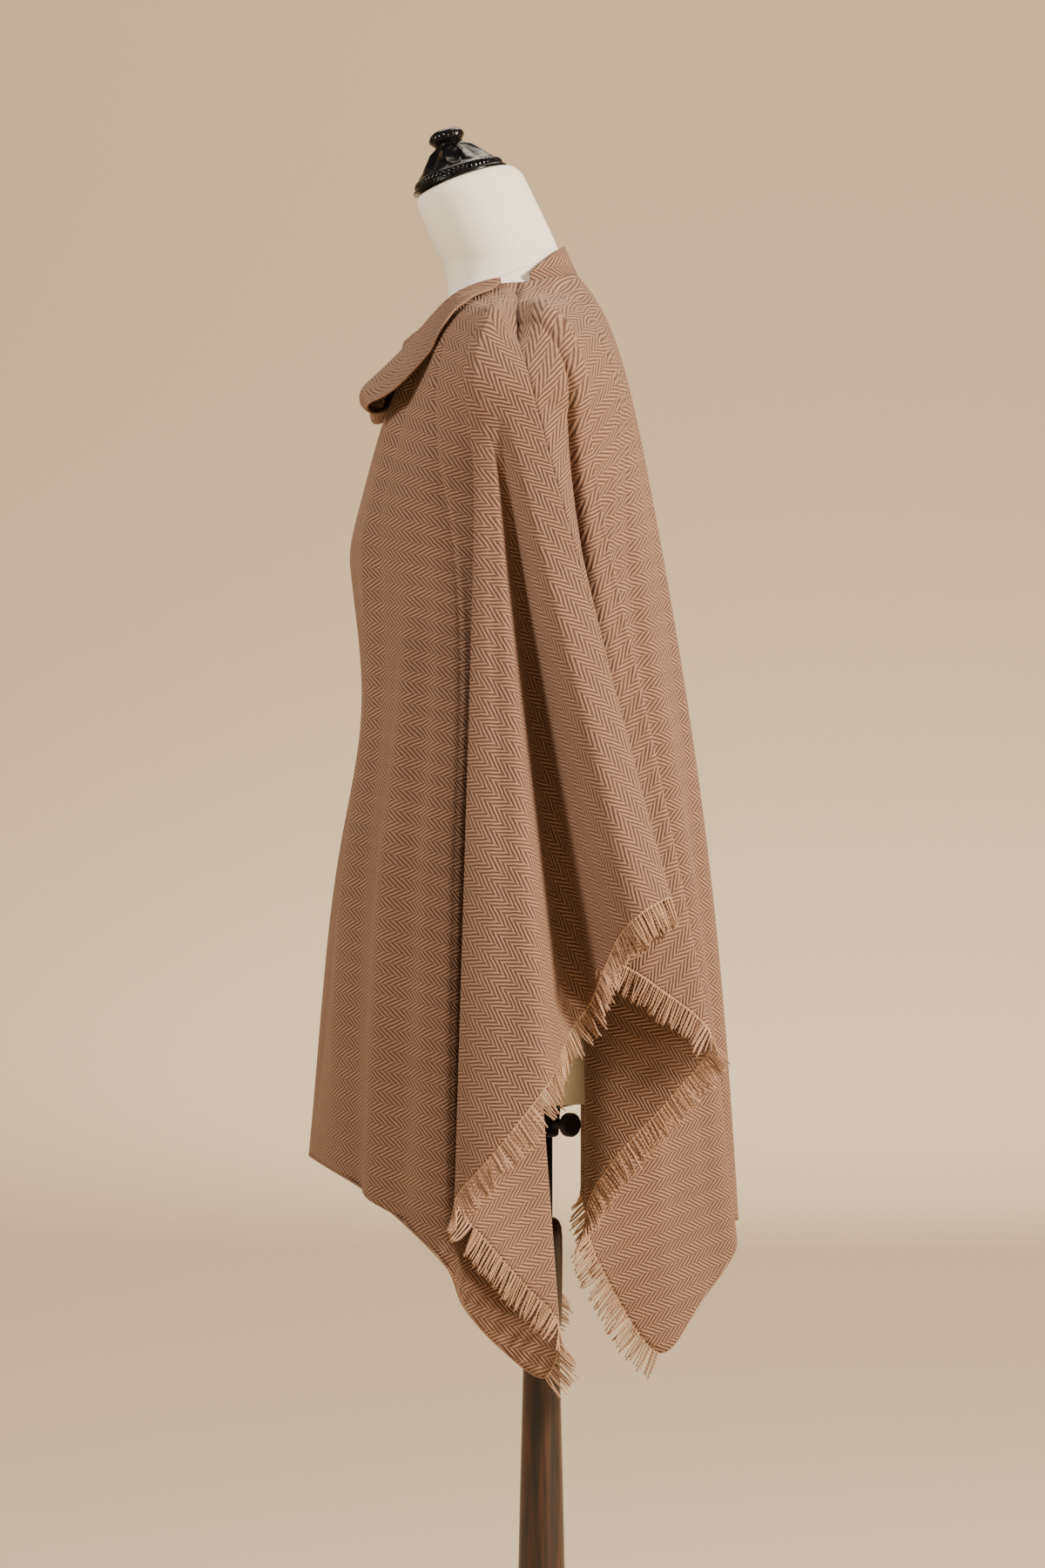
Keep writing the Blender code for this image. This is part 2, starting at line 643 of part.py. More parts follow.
def main():
    clear_scene()
    cloth = material("herringbone wool", (0.30, 0.175, 0.12), 0.9)
    cotton = material("natural cotton", (0.78, 0.74, 0.66), 0.9)
    black = material("black enamel", (0.012, 0.012, 0.013), 0.25)
    iron = material("black iron", (0.02, 0.02, 0.02), 0.45, 0.8)
    wood = material("dark stained wood", (0.045, 0.018, 0.009), 0.35)

    grid, normals, counts = left_sheet()
    ridge = len(FRONT_FOLDS) * COLUMNS_PER_FOLD
    front, back = seam_edges(grid, ridge)
    front_normals = mirrored(normals[:, :ridge + 1])
    back_normals = mirrored(normals[:, :ridge - 1:-1])
    add_solid("front_panel", *wall(mirrored(front), front_normals, CLOTH_WALL), cloth)
    add_solid("back_panel", *wall(mirrored(back[:, ::-1]), -back_normals, CLOTH_WALL), cloth)
    add_solid("front_lapel", *front_lapel(grid, normals, counts), cloth)
    add_solid("back_neck_band", *back_neck_band(grid, normals, counts), cloth)

    points, facing, hang, middle = fringe_edge(grid, normals, ridge)
    shift = np.gradient(grid, axis=1)[-1, ridge]
    shift = shift / np.linalg.norm(shift) * FRINGE_GAP
    for name, part, move in (
        ("front", slice(0, middle + 1), -shift),
        ("back", slice(middle, None), shift),
    ):
        edge = np.array(points[part])
        edge[-1 if name == "front" else 0] += move
        solid, faces = fringe(edge, facing[part], hang[part])
        add_solid(f"fringe_left_{name}", solid, faces, cloth)
        add_solid(f"fringe_right_{name}", solid * (-1.0, 1.0, 1.0), [face[::-1] for face in faces], cloth)

    add_solid("form_torso", *torso(), cotton)
    cap = add_solid("neck_cap", *turned(CAP_PROFILE, CAP_FLUTES * 3, CAP_FLUTES, CAP_FLUTE_DEPTH), black)
    axis = (0.0, -math.sin(NECK_TILT), math.cos(NECK_TILT))
    cap.location = (
        0.0,
        NECK_TOP[0] + axis[1] * SEAM_GAP - axis[2] * CAP_FORWARD,
        NECK_TOP[1] + axis[2] * SEAM_GAP + axis[1] * CAP_FORWARD,
    )
    cap.rotation_euler = (NECK_TILT, 0.0, 0.0)
    add_solid("clamp_collar", *turned(COLLAR_PROFILE, TURNED_SIDES), iron)
    add_solid("stand_rod", *turned(ROD_PROFILE, TURNED_SIDES), iron)
    add_solid("stand_pole", *turned(POLE_PROFILE, TURNED_SIDES), wood)
    add_solid("stand_base", *turned(BASE_PROFILE, TURNED_SIDES * 2), wood)
    screw = add_solid("clamp_screw", *turned(SCREW_PROFILE, SCREW_SIDES), iron)
    screw.location = (SCREW_SEAT * math.cos(SCREW_TURN), SCREW_SEAT * math.sin(SCREW_TURN), SCREW_HEIGHT)
    screw.rotation_euler = (0.0, math.pi / 2.0, SCREW_TURN)


main()
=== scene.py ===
import math

import bpy
import numpy as np
from mathutils import Matrix


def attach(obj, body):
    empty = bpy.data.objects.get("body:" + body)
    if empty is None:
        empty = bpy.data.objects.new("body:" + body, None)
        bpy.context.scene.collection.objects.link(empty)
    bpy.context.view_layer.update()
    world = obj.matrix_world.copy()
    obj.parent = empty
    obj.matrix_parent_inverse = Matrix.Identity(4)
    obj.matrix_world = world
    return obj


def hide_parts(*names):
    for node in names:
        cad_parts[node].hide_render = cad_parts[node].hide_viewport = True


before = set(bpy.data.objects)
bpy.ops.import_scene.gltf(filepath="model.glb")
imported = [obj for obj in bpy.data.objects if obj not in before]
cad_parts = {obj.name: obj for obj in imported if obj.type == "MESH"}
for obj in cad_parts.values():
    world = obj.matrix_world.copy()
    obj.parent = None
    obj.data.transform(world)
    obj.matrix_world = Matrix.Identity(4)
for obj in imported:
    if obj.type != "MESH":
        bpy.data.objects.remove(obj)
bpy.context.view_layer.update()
mm = 0.001
flipX = np.array([-1.0, 1.0, 1.0])


def linear(hexText):
    # sRGB to linear: c / 12.92 in the dark, ((c + 0.055) / 1.055) ^ 2.4 above
    c = np.array([int(hexText[k:k + 2], 16) for k in (1, 3, 5)]) / 255.0
    c = np.where(c <= 0.04045, c / 12.92, ((c + 0.055) / 1.055) ** 2.4)
    return (*c.tolist(), 1.0)


def plug(tree, node, inputs):
    # an input takes a value, an output, or the first output of a node
    for key, value in inputs.items():
        if isinstance(value, bpy.types.Node):
            value = value.outputs[0]
        if isinstance(value, bpy.types.NodeSocket):
            tree.links.new(value, node.inputs[key])
        else:
            node.inputs[key].default_value = value


def addNode(tree, kind, inputs=None, **settings):
    node = tree.nodes.new("ShaderNode" + kind)
    for key, value in settings.items():
        setattr(node, key, value)
    plug(tree, node, inputs or {})
    return node


def startMaterial(name, **sockets):
    # a Principled material whose even values sit straight on the shader's sockets
    made = bpy.data.materials.new(name)
    made.use_nodes = True
    shader = made.node_tree.nodes["Principled BSDF"]
    for key, value in sockets.items():
        shader.inputs[key.replace("_", " ")].default_value = value
    return made, made.node_tree, shader


def putMesh(name, points, faces, finish, uv=None, tint=None):
    mesh = bpy.data.meshes.new(name)
    mesh.from_pydata(np.asarray(points).reshape(-1, 3).tolist(), [], [list(map(int, f)) for f in faces])
    if uv is not None:
        layer = mesh.uv_layers.new(name="weave")
        corners = np.zeros(len(mesh.loops), dtype=np.int32)
        mesh.loops.foreach_get("vertex_index", corners)
        layer.data.foreach_set("uv", np.asarray(uv, float).reshape(-1, 2)[corners].ravel())
    if tint is not None:
        shade = mesh.attributes.new("tint", "FLOAT", "POINT")
        shade.data.foreach_set("value", np.asarray(tint, float).ravel())
    mesh.shade_smooth()
    mesh.materials.append(finish)
    piece = bpy.data.objects.new(name, mesh)
    bpy.context.collection.objects.link(piece)
    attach(piece, "root")
    return piece


def gridFaces(rows, columns, closed=False):
    # quads between neighbouring rows and columns, the last column joined to the first if closed
    index = np.arange(rows * columns).reshape(rows, columns)
    if closed:
        index = np.concatenate([index, index[:, :1]], axis=1)
    return np.stack([index[:-1, :-1], index[:-1, 1:], index[1:, 1:], index[1:, :-1]], axis=-1).reshape(-1, 4)


def tubes(paths, radii, sides, reference):
    # each path (number, steps, 3) carries a ring of points: centre + radius * (cos a * n1 + sin a * n2)
    tangent = np.gradient(paths, axis=1)
    tangent /= np.linalg.norm(tangent, axis=2, keepdims=True)
    first = reference[:, None, :] - tangent * np.sum(reference[:, None, :] * tangent, axis=2, keepdims=True)
    first /= np.linalg.norm(first, axis=2, keepdims=True)
    second = np.cross(tangent, first)
    a = np.arange(sides) * 2.0 * math.pi / sides
    ring = first[:, :, None, :] * np.cos(a)[:, None] + second[:, :, None, :] * np.sin(a)[:, None]
    points = paths[:, :, None, :] + ring * np.broadcast_to(radii, paths.shape[:2])[:, :, None, None]
    number, steps = paths.shape[:2]
    one = gridFaces(steps, sides, closed=True)[:, ::-1]
    block = steps * sides
    faces = (one[None] + (np.arange(number) * block)[:, None, None]).reshape(-1, 4).tolist()
    starts = np.arange(number)[:, None] * block + np.arange(sides)
    faces += starts.tolist() + (starts + block - sides)[:, ::-1].tolist()
    return points.reshape(-1, 3), faces


def spunFaces(rows, sides):
    # quads round a closed grid whose first row is its top, with a cap at either end
    ring = np.arange(sides)
    quads = gridFaces(rows, sides, closed=True)[:, ::-1].tolist()
    return quads + [ring.tolist(), (ring + (rows - 1) * sides)[::-1].tolist()]


def joined(first, firstFaces, second, secondFaces):
    # two bodies as one list of points and one of faces
    return np.concatenate([first, second]), firstFaces + [[k + len(first) for k in f] for f in secondFaces]


def lengthAlong(points, axis=0):
    # distance covered along one axis of the points, from 0
    steps = np.linalg.norm(np.diff(points, axis=axis), axis=-1)
    start = np.zeros_like(steps.take([0], axis=axis))
    return np.concatenate([start, np.cumsum(steps, axis=axis)], axis=axis)


def pointsAt(at, run, points):
    # points at given distances along a path
    return np.stack([np.interp(at, run, points[:, k]) for k in range(3)], axis=-1)


def twistPlaces(sides, along):
    # the share of a turn round a thread, and the length along it
    return np.stack(np.broadcast_arrays(np.arange(sides) / sides, along[..., None]), axis=-1)


def bell(value, middle, spread):
    # a smooth bump of height 1
    return np.exp(-((value - middle) / spread) ** 2)


def smoothThrough(stations, values, at):
    # cubic through the values, each slope taken from the neighbouring stations
    stations, values = np.asarray(stations, float), np.asarray(values, float)
    at = np.clip(at, stations[0], stations[-1])
    slopes = np.gradient(values, stations, axis=0)
    i = np.clip(np.searchsorted(stations, at, side="right") - 1, 0, len(stations) - 2)
    step = stations[i + 1] - stations[i]
    u = (at - stations[i]) / step
    if values.ndim == 2:
        u, step = u[..., None], step[..., None]
    ease = u * u * (3.0 - 2.0 * u)
    bend = u * (1.0 - u) ** 2 * slopes[i] + u * u * (u - 1.0) * slopes[i + 1]
    return values[i] + (values[i + 1] - values[i]) * ease + step * bend


def unit(v):
    return v / np.maximum(np.linalg.norm(v, axis=-1, keepdims=True), 1e-12)


def gridNormals(grid):
    return unit(np.cross(np.gradient(grid, axis=1), np.gradient(grid, axis=0)))


# finishes

# on the photo the lines measure about 3 mm; they are drawn a little coarser, so that they show in the render
weave = dict(
    period=20.0 * mm, line=3.5 * mm, lean=math.radians(32.0), bandTurn=math.radians(-27.0), twist=3.2 * mm,
    fitRounds=900, fitWeights=(0.1, 10.0))


def herringboneWool():
    # wool woven in a broken twill: bands of slanting lines that turn at each band's edge, soft and matt,
    # with a little loose fibre standing up that lightens glancing faces
    made, tree, shader = startMaterial(
        "herringboneWool", Roughness=0.86, IOR=1.45, Sheen_Weight=0.22, Sheen_Roughness=0.45)
    shader.inputs["Sheen Tint"].default_value = linear("#d8bfa6")
    place = addNode(tree, "UVMap", uv_map="weave")
    split = addNode(tree, "SeparateXYZ", {0: place})
    across, along = split.outputs[0], split.outputs[1]
    half = weave["period"] / 2.0
    zig = addNode(tree, "Math", {0: across, 1: half}, operation="PINGPONG")
    rise = addNode(tree, "Math", {0: zig, 1: 1.0 / math.tan(weave["lean"])}, operation="MULTIPLY")
    count = addNode(tree, "Math", {0: across, 1: half}, operation="DIVIDE")
    band = addNode(tree, "Math", {0: count}, operation="FLOOR")
    odd = addNode(tree, "Math", {0: band, 1: 2.0}, operation="FLOORED_MODULO")
    run = addNode(tree, "Math", {0: along, 1: rise}, operation="SUBTRACT")
    pace = math.sin(weave["lean"]) / weave["line"]
    lines = addNode(tree, "Math", {0: run, 1: pace}, operation="MULTIPLY")
    wander = addNode(tree, "TexNoise", {"Vector": place, "Scale": 90.0, "Detail": 2.0})
    drift = addNode(tree, "Math", {0: wander, 1: 0.5}, operation="MULTIPLY")
    shifted = addNode(tree, "Math", {0: odd, 1: 0.5, 2: lines}, operation="MULTIPLY_ADD")
    phase = addNode(tree, "Math", {0: shifted, 1: drift}, operation="ADD")
    angle = addNode(tree, "Math", {0: phase, 1: 2.0 * math.pi}, operation="MULTIPLY")
    wave = addNode(tree, "Math", {0: angle}, operation="SINE")
    raised = addNode(tree, "MapRange", {"Value": wave, "From Min": -1.0, "From Max": 1.0})
    fibre = addNode(tree, "TexNoise", {"Vector": place, "Scale": 700.0, "Detail": 2.0})
    patch = addNode(tree, "TexNoise", {"Vector": place, "Scale": 9.0, "Detail": 3.0})
    thread = addNode(tree, "Mix", {0: raised, 6: linear("#4e352a"), 7: linear("#9c7a64")}, data_type="RGBA")
    tone = addNode(tree, "MapRange", {
        "Value": patch, "From Min": 0.3, "From Max": 0.7, "To Min": 0.93, "To Max": 1.07})
    speck = addNode(tree, "MapRange", {
        "Value": fibre, "From Min": 0.3, "From Max": 0.7, "To Min": 0.86, "To Max": 1.14})
    mottled = addNode(tree, "Math", {0: tone, 1: speck}, operation="MULTIPLY")
    # the two leans of a twill send back unlike shares of the light, so every other band is a shade darker
    lustre = addNode(tree, "MapRange", {"Value": odd, "To Min": 0.95, "To Max": 1.05})
    both = addNode(tree, "Math", {0: mottled, 1: lustre}, operation="MULTIPLY")
    coloured = addNode(tree, "VectorMath", {0: thread.outputs[2], "Scale": both}, operation="SCALE")
    height = addNode(tree, "Math", {0: fibre, 1: 0.5, 2: raised}, operation="MULTIPLY_ADD")
    bump = addNode(tree, "Bump", {"Height": height, "Strength": 0.9, "Distance": 0.8 * mm})
    plug(tree, shader, {"Base Color": coloured, "Normal": bump})
    return made


def twistedYarn():
    # loose ends of the same wool, two plies twisted together: the twist is painted into the colour as
    # slanting bands of shade, darker in the grooves between the plies, and also given bumps
    made, tree, shader = startMaterial(
        "twistedYarn", Roughness=0.88, IOR=1.45, Sheen_Weight=0.25, Sheen_Roughness=0.5)
    shader.inputs["Sheen Tint"].default_value = linear("#d8bfa6")
    place = addNode(tree, "UVMap", uv_map="weave")
    split = addNode(tree, "SeparateXYZ", {0: place})
    turn = addNode(tree, "Math", {
        0: split.outputs[1], 1: 1.0 / weave["twist"], 2: split.outputs[0]}, operation="MULTIPLY_ADD")
    angle = addNode(tree, "Math", {0: turn, 1: 2.0 * math.pi}, operation="MULTIPLY")
    wave = addNode(tree, "Math", {0: angle}, operation="SINE")
    plyShadeAndRelief = addNode(tree, "MapRange", {"Value": wave, "From Min": -1.0, "From Max": 1.0})
    strand = addNode(tree, "Attribute", attribute_name="tint").outputs["Fac"]
    # painted shade: the twist's wave darkens the colour in the grooves between the plies; the strand's tint
    # adds its own tone, at random
    shade = addNode(tree, "Math", {0: plyShadeAndRelief, 1: 0.35, 2: strand}, operation="MULTIPLY_ADD")
    colour = addNode(tree, "Mix", {0: shade, 6: linear("#6b4a38"), 7: linear("#c9a488")}, data_type="RGBA")
    bump = addNode(tree, "Bump", {"Height": plyShadeAndRelief, "Strength": 0.5, "Distance": 0.3 * mm})
    plug(tree, shader, {"Base Color": colour.outputs[2], "Normal": bump})
    return made


def calicoCotton():
    # unbleached cotton pulled tight over padding: a fine plain weave, faint slubs and yellowed patches
    made, tree, shader = startMaterial(
        "calicoCotton", Roughness=0.9, IOR=1.45, Sheen_Weight=0.1, Sheen_Roughness=0.4)
    place = addNode(tree, "TexCoord").outputs["Object"]
    slubs = addNode(tree, "Mapping", {"Vector": place, "Scale": (260.0, 260.0, 900.0)})
    weaveNoise = addNode(tree, "TexNoise", {"Vector": slubs, "Scale": 1.0, "Detail": 3.0})
    patches = addNode(tree, "TexNoise", {"Vector": place, "Scale": 14.0, "Detail": 4.0})
    spots = addNode(tree, "TexVoronoi", {"Vector": place, "Scale": 38.0}).outputs["Distance"]
    dots = addNode(tree, "MapRange", {
        "Value": spots, "From Min": 0.03, "From Max": 0.10, "To Min": 0.86, "To Max": 1.0})
    base = addNode(tree, "Mix", {0: patches, 6: linear("#e6dcc6"), 7: linear("#f8f3e8")}, data_type="RGBA")
    grain = addNode(tree, "MapRange", {
        "Value": weaveNoise, "From Min": 0.3, "From Max": 0.7, "To Min": 0.95, "To Max": 1.04})
    shade = addNode(tree, "Math", {0: grain, 1: dots}, operation="MULTIPLY")
    colour = addNode(tree, "VectorMath", {0: base.outputs[2], "Scale": shade}, operation="SCALE")
    bump = addNode(tree, "Bump", {"Height": weaveNoise, "Strength": 0.35, "Distance": 0.4 * mm})
    plug(tree, shader, {"Base Color": colour, "Normal": bump})
    return made


def blackLacquer():
    # thick glossy lacquer over carved wood: near black, duller in random patches where dust sits
    made, tree, shader = startMaterial("blackLacquer", IOR=1.28, Coat_Weight=0.06, Coat_Roughness=0.08)
    place = addNode(tree, "TexCoord").outputs["Object"]
    dust = addNode(tree, "TexNoise", {"Vector": place, "Scale": 120.0, "Detail": 4.0})
    colour = addNode(tree, "Mix", {0: dust, 6: linear("#050506"), 7: linear("#121113")}, data_type="RGBA")
    rough = addNode(tree, "MapRange", {
        "Value": dust, "From Min": 0.3, "From Max": 0.7, "To Min": 0.16, "To Max": 0.34})
    bump = addNode(tree, "Bump", {"Height": dust, "Strength": 0.2, "Distance": 0.5 * mm})
    plug(tree, shader, {"Base Color": colour.outputs[2], "Roughness": rough, "Normal": bump})
    return made


def blackIron():
    # cast iron under thin satin black paint: a fine sand-cast grain
    made, tree, shader = startMaterial("blackIron", Metallic=0.6)
    place = addNode(tree, "TexCoord").outputs["Object"]
    grit = addNode(tree, "TexNoise", {"Vector": place, "Scale": 900.0, "Detail": 3.0})
    wear = addNode(tree, "TexNoise", {"Vector": place, "Scale": 60.0, "Detail": 5.0})
    colour = addNode(tree, "Mix", {0: wear, 6: linear("#141416"), 7: linear("#2b2a2b")}, data_type="RGBA")
    rough = addNode(tree, "MapRange", {"Value": wear, "To Min": 0.35, "To Max": 0.6})
    bump = addNode(tree, "Bump", {"Height": grit, "Strength": 0.25, "Distance": 0.3 * mm})
    plug(tree, shader, {"Base Color": colour.outputs[2], "Roughness": rough, "Normal": bump})
    return made


def stainedWood():
    # turned hardwood under dark stain and worn varnish: long grain streaks up the pole, fine open pores
    made, tree, shader = startMaterial("stainedWood", IOR=1.5, Coat_Weight=0.25, Coat_Roughness=0.25)
    place = addNode(tree, "TexCoord").outputs["Object"]
    long = addNode(tree, "Mapping", {"Vector": place, "Scale": (130.0, 130.0, 7.0)})
    streak = addNode(tree, "TexNoise", {"Vector": long, "Scale": 1.0, "Detail": 5.0, "Distortion": 0.6})
    fine = addNode(tree, "Mapping", {"Vector": place, "Scale": (900.0, 900.0, 40.0)})
    pores = addNode(tree, "TexNoise", {"Vector": fine, "Scale": 1.0, "Detail": 2.0})
    ramp = addNode(tree, "ValToRGB", {0: streak})
    for stop, at, shade in zip(ramp.color_ramp.elements, (0.36, 0.66), ("#150a05", "#4a2611")):
        stop.position = at
        stop.color = linear(shade)
    depth = addNode(tree, "MapRange", {
        "Value": pores, "From Min": 0.35, "From Max": 0.6, "To Min": 0.7, "To Max": 1.05})
    colour = addNode(tree, "VectorMath", {0: ramp, "Scale": depth}, operation="SCALE")
    rough = addNode(tree, "MapRange", {"Value": streak, "To Min": 0.28, "To Max": 0.5})
    bump = addNode(tree, "Bump", {"Height": pores, "Strength": 0.25, "Distance": 0.3 * mm})
    plug(tree, shader, {"Base Color": colour, "Roughness": rough, "Normal": bump})
    return made


wool, yarn, cotton = herringboneWool(), twistedYarn(), calicoCotton()
lacquer, iron, wood = blackLacquer(), blackIron(), stainedWood()
print("finishes made")

# the form

form = dict(
    # height, half width, front and back of the torso, mm
    sections=np.array([
        (660, 124, -116, 78), (700, 137, -128, 90), (800, 142, -134, 96), (900, 134, -128, 78),
        (1000, 114, -122, 58), (1100, 124, -152, 70), (1200, 144, -183, 84), (1250, 152, -173, 87),
        (1320, 168, -139, 86), (1360, 179, -124, 80), (1390, 176, -114, 70), (1410, 164, -108, 62),
        (1427, 139, -102, 54), (1441, 109, -97, 47), (1453, 84, -94, 40), (1468, 67, -93, 33),
        (1490, 59, -97, 23)], float) * mm,
    shoulderY=-24.0 * mm, neckSide=1462.0 * mm, shoulderEnd=1394.0 * mm,
    neckTop=np.array([0.0, -76.0, 1575.0]) * mm, neckRadius=55.0 * mm, neckTilt=math.radians(18.0),
    sides=96, rings=110, neckRings=36, rim=13.0 * mm, rimRings=9, probe=0.5 * mm,
    sharp=math.radians(50.0))


def torsoAt(z):
    s = form["sections"]
    return [smoothThrough(s[:, 0], s[:, k], z) for k in (1, 2, 3)]


def bodyLevel(p):
    # how far out from the torso's middle: 1 on its surface, more outside
    half, front, back = torsoAt(p[..., 2])
    return np.hypot(p[..., 0] / half, (p[..., 1] - (front + back) / 2.0) / ((back - front) / 2.0))


def bodyDistance(p):
    # (level - 1) over the level's slope, and the slope's direction
    step = form["probe"]
    moves = np.eye(3) * step
    slope = np.stack([(bodyLevel(p + m) - bodyLevel(p - m)) / (2.0 * step) for m in moves], axis=-1)
    size = np.linalg.norm(slope, axis=-1)
    return (bodyLevel(p) - 1.0) / size, slope / size[..., None]


def hungOver(needed):
    # spreads a push down each column, so that cloth held off at one place falls away slowly from it
    given = np.array(needed)
    if given.ndim == 2:
        for _ in range(poncho["hungRounds"]):
            given[1:-1] = np.maximum(needed[1:-1], (given[:-2] + 2.0 * given[1:-1] + given[2:]) / 4.0)
    return given


def clearOfBody(p, side, clearance, alongY):
    # points too close to the torso move out along Y, then straight away from it
    moved = np.array(p)
    x, y, z = moved[..., 0], moved[..., 1], moved[..., 2]
    half, front, back = torsoAt(z)
    deep = np.sqrt(np.clip(1.0 - (x / half) ** 2, 0.0, 1.0))
    surface = side * (front + back) / 2.0 + (back - front) / 2.0 * deep
    inside = alongY * np.clip((half - np.abs(x)) / poncho["edgeFade"], 0.0, 1.0)
    needed = np.maximum(surface + clearance - side * y, 0.0) * inside
    moved[..., 1] += side * hungOver(needed)
    distance, away = bodyDistance(moved)
    moved += away * (hungOver(np.maximum(clearance - distance, 0.0)) * poncho["hungShare"])[..., None]
    for _ in range(poncho["clearRounds"]):
        distance, away = bodyDistance(moved)
        moved += away * np.maximum(clearance - distance, 0.0)[..., None]
    return moved


def torsoGrid():
    # rings of (width * cos a, middle + depth * sin a), tilted more and more up the neck, whose top edge
    # turns in on a quarter circle
    a = np.arange(form["sides"]) * 2.0 * math.pi / form["sides"]
    z = np.linspace(form["sections"][0, 0], form["sections"][-1, 0], form["rings"])
    half, front, back = torsoAt(z)
    rim = form["rim"] / (form["neckTop"][2] - z[-1])
    bend = np.linspace(0.0, math.pi / 2.0, form["rimRings"])
    straight = np.linspace(0.0, 1.0 - rim, form["neckRings"])[1:-1]
    up = np.concatenate([straight, 1.0 - rim + rim * np.sin(bend)])
    ease = up * up * (3.0 - 2.0 * up)
    inset = np.zeros(len(z) + len(up))
    inset[-len(bend):] = form["rim"] * (1.0 - np.cos(bend))
    middle = (front[-1] + back[-1]) / 2.0
    radius = form["neckRadius"]
    width = np.concatenate([half, half[-1] + (radius - half[-1]) * ease]) - inset
    deep = (back - front) / 2.0
    depth = np.concatenate([deep, deep[-1] * (1.0 - ease) + radius * ease]) - inset
    centre = np.concatenate([(back + front) / 2.0, middle + (form["neckTop"][1] - middle) * up])
    height = np.concatenate([z, z[-1] + (form["neckTop"][2] - z[-1]) * up])
    tilt = np.concatenate([np.zeros_like(z), form["neckTilt"] * up])
    out = depth[:, None] * np.sin(a)
    return np.stack([
        width[:, None] * np.cos(a),
        centre[:, None] + out * np.cos(tilt)[:, None],
        height[:, None] + out * np.sin(tilt)[:, None]], axis=-1)


def buildTorso():
    grid = torsoGrid()
    rows, sides = grid.shape[:2]
    faces = gridFaces(rows, sides, closed=True).tolist()
    faces += [list(range(sides))[::-1], list(range((rows - 1) * sides, rows * sides))]
    piece = putMesh("formTorso", grid, faces, cotton)
    piece.data.set_sharp_from_angle(angle=form["sharp"])
    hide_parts("form_torso")
    return grid


torso = buildTorso()

seam = dict(
    front=-99.0 * mm, height=1446.0 * mm, slope=0.40, lowest=1.36, radius=0.5 * mm, sides=6, steps=200,
    stitch=3.0 * mm, stitchPoints=3, gap=1.8 * mm, above=2.2 * mm, threadShare=0.8)


def buildNeckSeam():
    # a seam where a slanting plane cuts the neck: a fine cord, and dashes of thread just above it
    over = torso[..., 2] - seam["height"] - seam["slope"] * (torso[..., 1] - seam["front"])
    over[torso[..., 2] < seam["lowest"]] = -1.0
    row = np.argmax(over > 0.0, axis=0)
    side = np.arange(torso.shape[1])
    share = (over[row, side] / (over[row, side] - over[row - 1, side]))[:, None]
    line = torso[row, side] * (1.0 - share) + torso[row - 1, side] * share
    ring = np.concatenate([line, line[:1]])
    run = lengthAlong(ring)
    number = int(run[-1] / (seam["stitch"] + seam["gap"]))
    within = np.linspace(0.0, seam["stitch"], seam["stitchPoints"])
    at = np.arange(number)[:, None] * run[-1] / number + within[None]
    cordPath = pointsAt(np.linspace(0.0, run[-1], seam["steps"]), run, ring)[None]
    dashes = pointsAt(at, run, ring) + np.array([0.0, 0.0, seam["above"]])
    upward = np.array([[0.0, 0.0, 1.0]])
    fine = seam["radius"] * seam["threadShare"]
    laid = tubes(cordPath, seam["radius"], seam["sides"], upward)
    stitched = tubes(dashes, fine, seam["sides"], np.repeat(upward, number, axis=0))
    points, faces = joined(*laid, *stitched)
    putMesh("neckSeam", points, faces, cotton)


buildNeckSeam()
print("form made")

# the poncho

